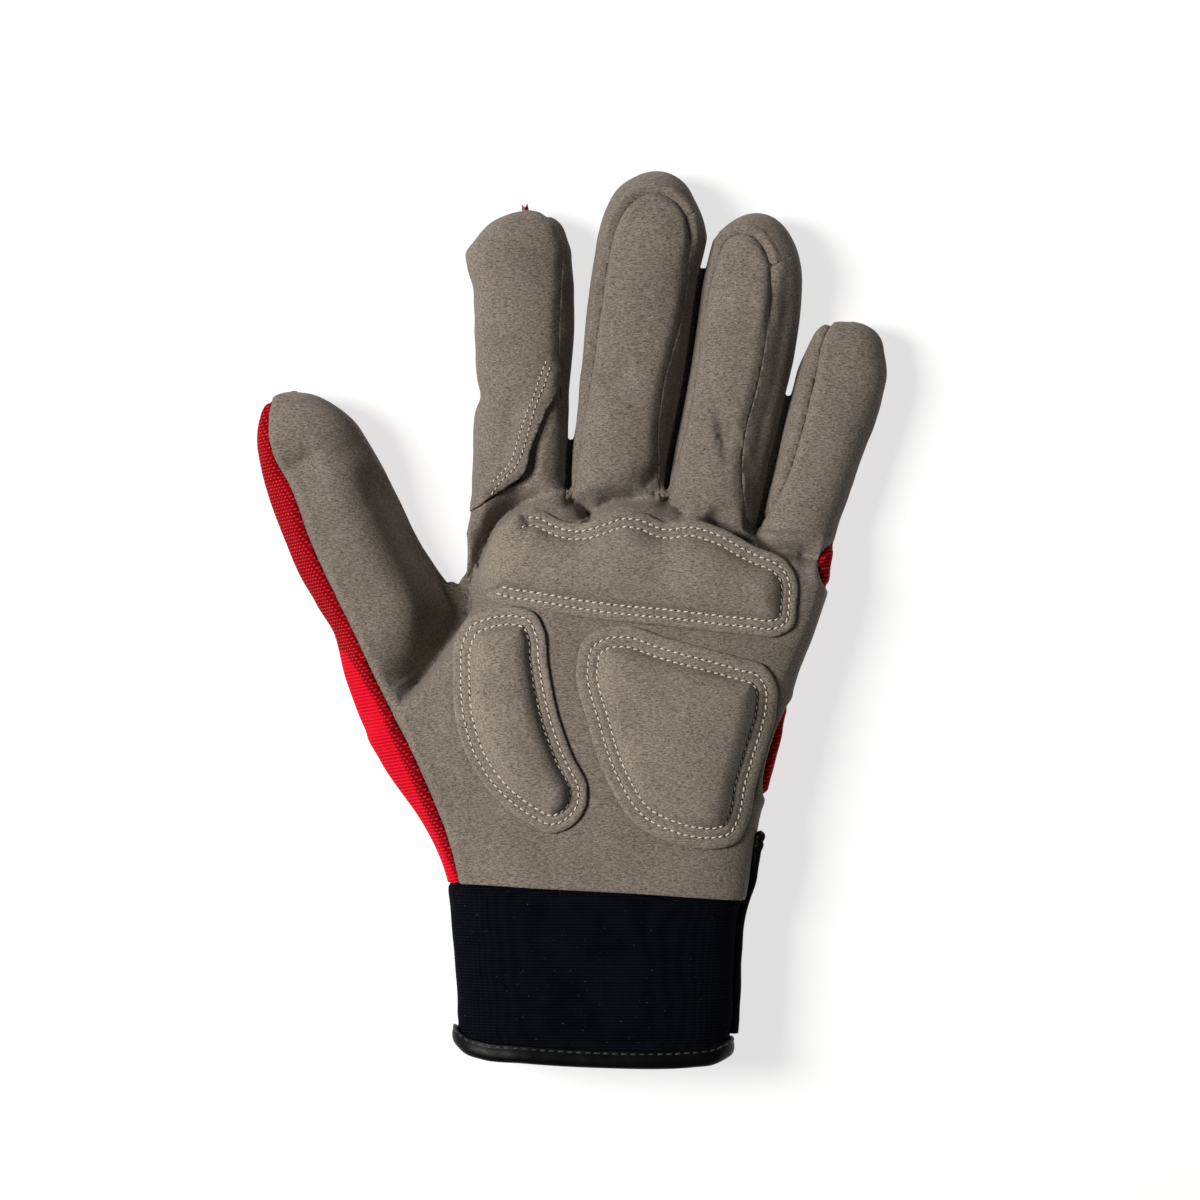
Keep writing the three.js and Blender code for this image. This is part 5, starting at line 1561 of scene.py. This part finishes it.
def make_cuff():
    angles = even_angles(CUFF_COLUMNS)
    outer, inner = [], []
    shares = np.linspace(0, 1, 56)
    ladder = [(up, out, None) for up, out in CUFF_TUCK] + [(None, 0.0, share) for share in shares[1:]]
    for up, out, share in ladder:
        y = np.full(len(angles), -20.0)
        for _ in range(SETTLE_ROUNDS):
            x = cuff_place(angles, y, 0)[:, 0]
            top = wrist_at(x)
            low = mouth_at(x) + BINDING_THICKNESS
            y = top + up if share is None else top - 2.5 + (low - top + 2.5) * share
        place = cuff_place(angles, y, 0)
        depth = top - y
        swell = CUFF_SWELL * lumps(place, 20.0, 41) + CUFF_UNEVEN * lumps(place, 6.0, 42)
        pucker = CUFF_PUCKER * lumps(place * np.array([1.0, 0.35, 1.0]), 4.0, 43)
        pucker *= np.exp(-np.maximum(depth, 0) / 4.0)
        press = -CUFF_PRESS * bell((y - mouth_at(x)) - 6.0, 1.6)
        ease = ramp(place[:, 2], CUFF_LIFT + 0.4, CUFF_LIFT + 6.0)
        move = out + (swell + pucker + press) * ease * ramp(depth, -1.0, 4.0)
        outer.append(cuff_place(angles, y, move))
        wall = CUFF_WALL - 1.2 if share is None and up > -0.5 else CUFF_WALL
        inner.append(cuff_place(angles, y, move - wall))
    tris = ring_faces(len(outer), CUFF_COLUMNS)
    outer, inner = np.vstack(outer), np.vstack(inner)
    points, faces, _ = thicken(outer, inner, tris)
    finish_piece(make_mesh("cuff_tube", points, faces, KNIT_LOOK), "cuff_neoprene", "cuff")


# The binding's section: up from the mouth's edge, and out from the cuff's outside.
BINDING_SECTION = (
    (5.0, 0.22), (4.95, 0.62), (4.6, 0.92), (4.1, 0.78), (3.5, 0.98), (2.4, 1.2), (1.2, 1.18), (0.35, 0.85),
    (-0.05, 0.0), (-0.1, -1.3), (0.0, -2.7), (0.35, -3.5), (1.1, -3.8), (2.6, -3.8), (4.2, -3.6),
    (4.85, -3.3), (4.9, -2.85), (3.0, -2.75), (1.25, -2.7), (1.0, -1.3), (1.25, 0.1), (3.0, 0.15),
)


def along_mouth(angles, up, out):
    """y of a line round the cuff, at a height above the edge of its mouth."""
    y = np.full(len(angles), -45.0)
    for _ in range(SETTLE_ROUNDS):
        y = mouth_at(cuff_place(angles, y, out)[:, 0]) + up
    return y


def make_binding():
    angles = even_angles(CUFF_COLUMNS)
    section = smooth_line(BINDING_SECTION, 0.42, closed=True)
    rings = []
    for up, out in section:
        y = along_mouth(angles, up, out)
        place = cuff_place(angles, y, out)
        wander = 0.10 * lumps(place, 7.0, 51) + 0.05 * lumps(place, 3.0, 52)
        ease = ramp(place[:, 2], 1.6, 4.5)
        rings.append(cuff_place(angles, y, out + (wander * ease if out > 0.5 else 0 * wander)))
    points = np.vstack(rings)
    points[:, 2] = np.maximum(points[:, 2], 1.0)
    tris = ring_faces(len(section), CUFF_COLUMNS, closed_rows=True)
    finish_piece(make_mesh("cuff_binding_tape", points, tris, TAPE_LOOK), "edge_binding", "cuff_binding")
    sew_binding(angles)


def sew_binding(angles):
    """One row of stitches round the outside of the binding."""
    ring = cuff_place(angles, along_mouth(angles, BINDING_ROW_UP, 0.85), BINDING_ROW_OUT)
    loop = np.vstack([ring, ring[:1]])
    length = running_length(loop)
    count = int(length[-1] / BINDING_PITCH)
    rows = []
    centre = np.array([loop[:, 0].mean(), loop[:, 1].mean(), CUFF_LIFT + CUFF_DEPTH / 2])
    for number in range(count):
        ends = [
            np.array([np.interp((number + t) / count * length[-1], length, loop[:, k]) for k in range(3)])
            for t in (0.12, 0.86)
        ]
        up = (ends[0] + ends[1]) / 2 - centre
        up[1] = 0
        up[0] *= 0.12
        rows.append((ends[0], ends[1], up))
    stitch_mesh("stitches_cuff_binding", rows, DARK_THREAD_LOOK, 0.22, 0.10, 0.25)


def right_edge(y):
    """x of the hand's or the cuff's right side at y."""
    palm_rows = np.array(PALM_ROWS)
    palm_x = [on_palm(row[0], row[2])[0] for row in palm_rows]
    on_hand = np.interp(y, palm_rows[:, 0] * PALM_LENGTH, palm_x)
    on_cuff = cuff_place(np.zeros(len(y)), y, 0)[:, 0]
    return np.where(y > 0, on_hand, on_cuff)


# Side binding: y, and its thickness (share of the diameter).
PIPING_ROWS = (
    (-41.0, 0.95), (-30.0, 1.0), (-20.0, 1.0), (-11.0, 1.0), (-4.5, 1.0), (0.0, 1.0), (4.9, 1.0),
    (9.6, 1.0), (10.6, 1.22), (11.6, 1.30), (12.5, 1.05), (13.2, 1.28), (14.2, 1.25), (15.0, 0.85),
    (15.5, 0.3),
)


def make_piping():
    rows = np.array(PIPING_ROWS)
    ys = np.linspace(rows[0, 0], rows[-1, 0], 130)
    thick = hermite(rows[:, 0], rows[:, 1], ys, True) * PIPING_DIAMETER / 2
    x = right_edge(ys)
    x = np.convolve(np.pad(x, 6, mode="edge"), np.ones(13) / 13, mode="valid") + PIPING_DIAMETER / 4
    z = CUFF_LIFT + PIPING_HEIGHT * CUFF_DEPTH + 0.25 * np.sin(ys / 7.0)
    sides = 20
    angle = 2 * math.pi * np.arange(sides) / sides
    rings = []
    for y, r, cx, cz in zip(ys, thick, x, z):
        out = r * power(np.cos(angle), 2.6)
        up = 1.25 * r * power(np.sin(angle), 2.6)
        crease = 1 - 0.16 * bell(angle - 0.9, 0.18)
        rings.append(np.column_stack([cx + out * crease, np.full(sides, y), cz + up * crease]))
    points = np.vstack(rings + [[[x[0], ys[0] - 0.2, z[0]]], [[x[-1], ys[-1] + 0.1, z[-1]]]])
    points[:-2] += 0.06 * lumps(points[:-2], 4.0, 61)[:, None] * np.array([1, 0, 1])
    tris = ring_faces(len(ys), sides)
    first, last = len(points) - 2, len(points) - 1
    here = np.arange(sides)
    there = (here + 1) % sides
    end = (len(ys) - 1) * sides
    caps = np.vstack([
        np.column_stack([here, there, np.full(sides, first)]),
        np.column_stack([end + there, end + here, np.full(sides, last)]),
    ])
    item = make_mesh("side_binding_tape", points, np.vstack([tris, caps]), TAPE_LOOK)
    finish_piece(item, "edge_binding", "side_binding")


# The strap's middle line, the length of its rounded tab, and its thin edge and the groove along it.
STRAP_MIDDLE = -22.9
STRAP_TAB = 7.0
STRAP_EDGE, STRAP_EDGE_WIDTH = 0.55, 0.7
STRAP_GROOVE, STRAP_GROOVE_AT, STRAP_GROOVE_WIDTH = 0.22, 2.2, 0.5


def make_strap():
    """A flat strap from the right side, round under the cuff, to a rounded tab on the back."""
    start = math.asin(-((1 - 2 * STRAP_WRAP) ** (CUFF_CORNER / 2)))
    fine = np.linspace(start, start - math.pi, 4000)
    place = cuff_place(fine, np.full(len(fine), STRAP_MIDDLE), 0)
    run = running_length(place)
    far = cuff_place(np.array([0.0]), np.array([-0.5 * CUFF_LENGTH]), 0)[0, 0] - STRAP_REACH
    length = run[np.argmax(place[:, 0] < far)]
    columns, lanes = 110, 44
    along = np.linspace(0, length, columns)
    angle = np.interp(along, run, fine)
    past = np.clip((along - (length - STRAP_TAB)) / STRAP_TAB, 0, 1)
    half = STRAP_WIDTH / 2 - STRAP_TAB * (1 - np.sqrt(1 - (0.985 * past) ** 2))
    outer, inner = [], []
    for lane in np.linspace(-1, 1, lanes):
        y = STRAP_MIDDLE + lane * half
        away = np.minimum((1 - abs(lane)) * half, length - along)
        edge = 1 - np.exp(-away / STRAP_EDGE_WIDTH) * STRAP_EDGE
        groove = STRAP_GROOVE * bell(away - STRAP_GROOVE_AT, STRAP_GROOVE_WIDTH)
        place = cuff_place(angle, y, 0)
        out = 0.3 + STRAP_THICKNESS * edge - groove
        skin = cuff_place(angle, y, out)
        skin[:, 2] = np.maximum(skin[:, 2], 0.02)
        outer.append(skin)
        inner.append(cuff_place(angle, y, 0.25))
    outer, inner = np.vstack(outer), np.vstack(inner)
    tris = grid_faces(np.arange(lanes * columns).reshape(lanes, columns))
    points, faces, _ = thicken(outer, inner, tris)
    item = make_mesh("closure_strap_band", points, faces, STRAP_LOOK)
    finish_piece(item, "strap_webbing", "closure_strap")


# Build the hand

sheet_points, sheet_tris, sheet_labels = hand_sheet(SHEET_STEP)
sheet_slope = normals(sheet_points, sheet_tris)
seam_trees = boundary_tree(sheet_points, sheet_tris, sheet_labels)

PANEL_LOOKS = {
    "palm_panel": (PALM_LOOK, "palm_suede"),
    "back_panel": (RED_LOOK, "back_cloth"),
    "index_panel": (PALM_LOOK, "palm_suede"),
    "fourchette_index_middle": (SIDE_LOOK, "side_suede"),
    "fourchette_middle_ring": (SIDE_LOOK, "side_suede"),
    "fourchette_ring_little": (SIDE_LOOK, "side_suede"),
}
panel_trees = {}
for number, name in enumerate(PANELS):
    used, tris = compact(len(sheet_points), sheet_tris[sheet_labels == number])
    skin = sewn(sheet_points[used], sheet_slope[used], number, seam_trees)
    turned = normals(skin, tris)
    points, faces, rim = thicken(skin, skin - WALL * turned, tris)
    look, slot = PANEL_LOOKS[name]
    item = make_mesh(name + "_cloth", points, faces, look, slice(rim, None))
    finish_piece(item, slot, name)
    panel_trees[name] = BVHTree.FromPolygons(skin.tolist(), tris.tolist())

draw = np.random.default_rng(4)
STITCH_PITCH = 1.95
LAP_PITCH = 1.6


def sew(name, tree, lines, closed, fill, **shape):
    """Rows of stitches with dark pieces between them that paint the shade in each needle hole, as two
    joined meshes.
    """
    rows, hole_shades = [], []
    for line in lines:
        made, shade_gaps = along_line(tree, line, fill, closed, draw)
        rows += made
        hole_shades += shade_gaps
    stitch_mesh("stitches_" + name, rows, THREAD_LOOK, **shape)
    # Dark pieces between the stitches: painted shade in each needle hole.
    stitch_mesh("painted_hole_shade_" + name, hole_shades, HOLE_SHADE_LOOK, radius=0.21, lift=-0.02, dip=0.12)


for pad in PADS:
    make_pad(pad)
    lines = [inset_line(pad["line"], row, STITCH_PITCH) for row in pad["rows"]]
    if "bare" in pad:
        lines = [open_line(line, bare_share(pad, line) < 0.5) for line in lines]
    sew(pad["name"], pad["tree"], lines, "bare" not in pad, 0.74, radius=0.25)
sew("index_lap", panel_trees["index_panel"], [smooth_line(line[::3], LAP_PITCH) for line in lap_rows],
    False, 0.60, radius=0.19, lift=0.06, dip=0.2)

make_cuff()
make_binding()
make_piping()
make_strap()


# Floor, light and camera

# Studio: the floor's grey and its own glow, the camera, and the pale room round it.
FLOOR_GREY, FLOOR_GLOW = 0.26, 0.72
CAMERA_AT = (0.00798, 0.00462)
CAMERA_HEIGHT, FOCUS_HEIGHT, VIEW_WIDTH = 1.4, 0.015, 0.336
SENSOR = 36.0
# Ranges of direction, then the room's light at each end: by height, and from left to right.
ROOM_HEIGHT = (0.0, 0.34, 0.55, 0.07)
ROOM_ACROSS = (-0.6, 0.6, 1.0, 0.35)
# Lamps: name, place, size (m), power (W), colour. Each one faces the middle of the floor.
LAMPS = (
    ("key", (-1.90, 0.32, 2.18), (0.8, 1.0), 131.0, (1.0, 0.985, 0.96)),
    ("fill", (0.9, 0.5, 1.5), (1.4, 1.4), 2.0, (0.95, 0.98, 1.0)),
)


def make_floor():
    mesh = bpy.data.meshes.new("floor")
    mesh.from_pydata([(-3, -3, 0), (3, -3, 0), (3, 3, 0), (-3, 3, 0)], [], [(0, 1, 2, 3)])
    item = bpy.data.objects.new("floor", mesh)
    look = bpy.data.materials.new("floor_white")
    look.use_nodes = True
    surface = look.node_tree.nodes["Principled BSDF"]
    surface.inputs["Base Color"].default_value = (*grey(FLOOR_GREY), 1)
    surface.inputs["Emission Color"].default_value = (1, 1, 1, 1)
    surface.inputs["Emission Strength"].default_value = FLOOR_GLOW
    surface.inputs["Roughness"].default_value = 0.9
    surface.inputs["Specular IOR Level"].default_value = 0.1
    mesh.materials.append(look)
    bpy.context.scene.collection.objects.link(item)


def make_light(name, place, size, strength, colour):
    lamp = bpy.data.lights.new(name, "AREA")
    lamp.shape = "RECTANGLE"
    lamp.size, lamp.size_y = size
    lamp.energy = strength
    lamp.color = colour
    item = bpy.data.objects.new(name, lamp)
    item.location = place
    item.rotation_euler = (-Vector(place)).to_track_quat("-Z", "Y").to_euler()
    bpy.context.scene.collection.objects.link(item)


def make_room():
    """The light of the pale room: stronger near the horizon and from the left."""
    world = bpy.data.worlds.new("studio")
    world.use_nodes = True
    nodes, links = world.node_tree.nodes, world.node_tree.links
    way = nodes.new("ShaderNodeTexCoord")
    parts = nodes.new("ShaderNodeSeparateXYZ")
    links.new(way.outputs["Generated"], parts.inputs[0])
    strength = nodes.new("ShaderNodeMath")
    strength.operation = "MULTIPLY"
    for number, (axis, values) in enumerate(((2, ROOM_HEIGHT), (0, ROOM_ACROSS))):
        level = nodes.new("ShaderNodeMapRange")
        level.interpolation_type = "SMOOTHSTEP" if axis == 2 else "LINEAR"
        for socket, value in zip(level.inputs[1:5], values):
            socket.default_value = value
        links.new(parts.outputs[axis], level.inputs[0])
        links.new(level.outputs[0], strength.inputs[number])
    links.new(strength.outputs[0], nodes["Background"].inputs[1])
    nodes["Background"].inputs[0].default_value = (1, 1, 1, 1)
    bpy.context.scene.world = world
    bpy.context.scene.view_settings.view_transform = "Standard"


def make_camera():
    lens = bpy.data.cameras.new("camera")
    lens.sensor_width = SENSOR
    lens.lens = SENSOR * CAMERA_HEIGHT / VIEW_WIDTH
    camera = bpy.data.objects.new("camera", lens)
    camera.location = (*CAMERA_AT, CAMERA_HEIGHT + FOCUS_HEIGHT)
    bpy.context.scene.collection.objects.link(camera)
    bpy.context.scene.camera = camera


make_floor()
for lamp in LAMPS:
    make_light(*lamp)
make_room()
make_camera()
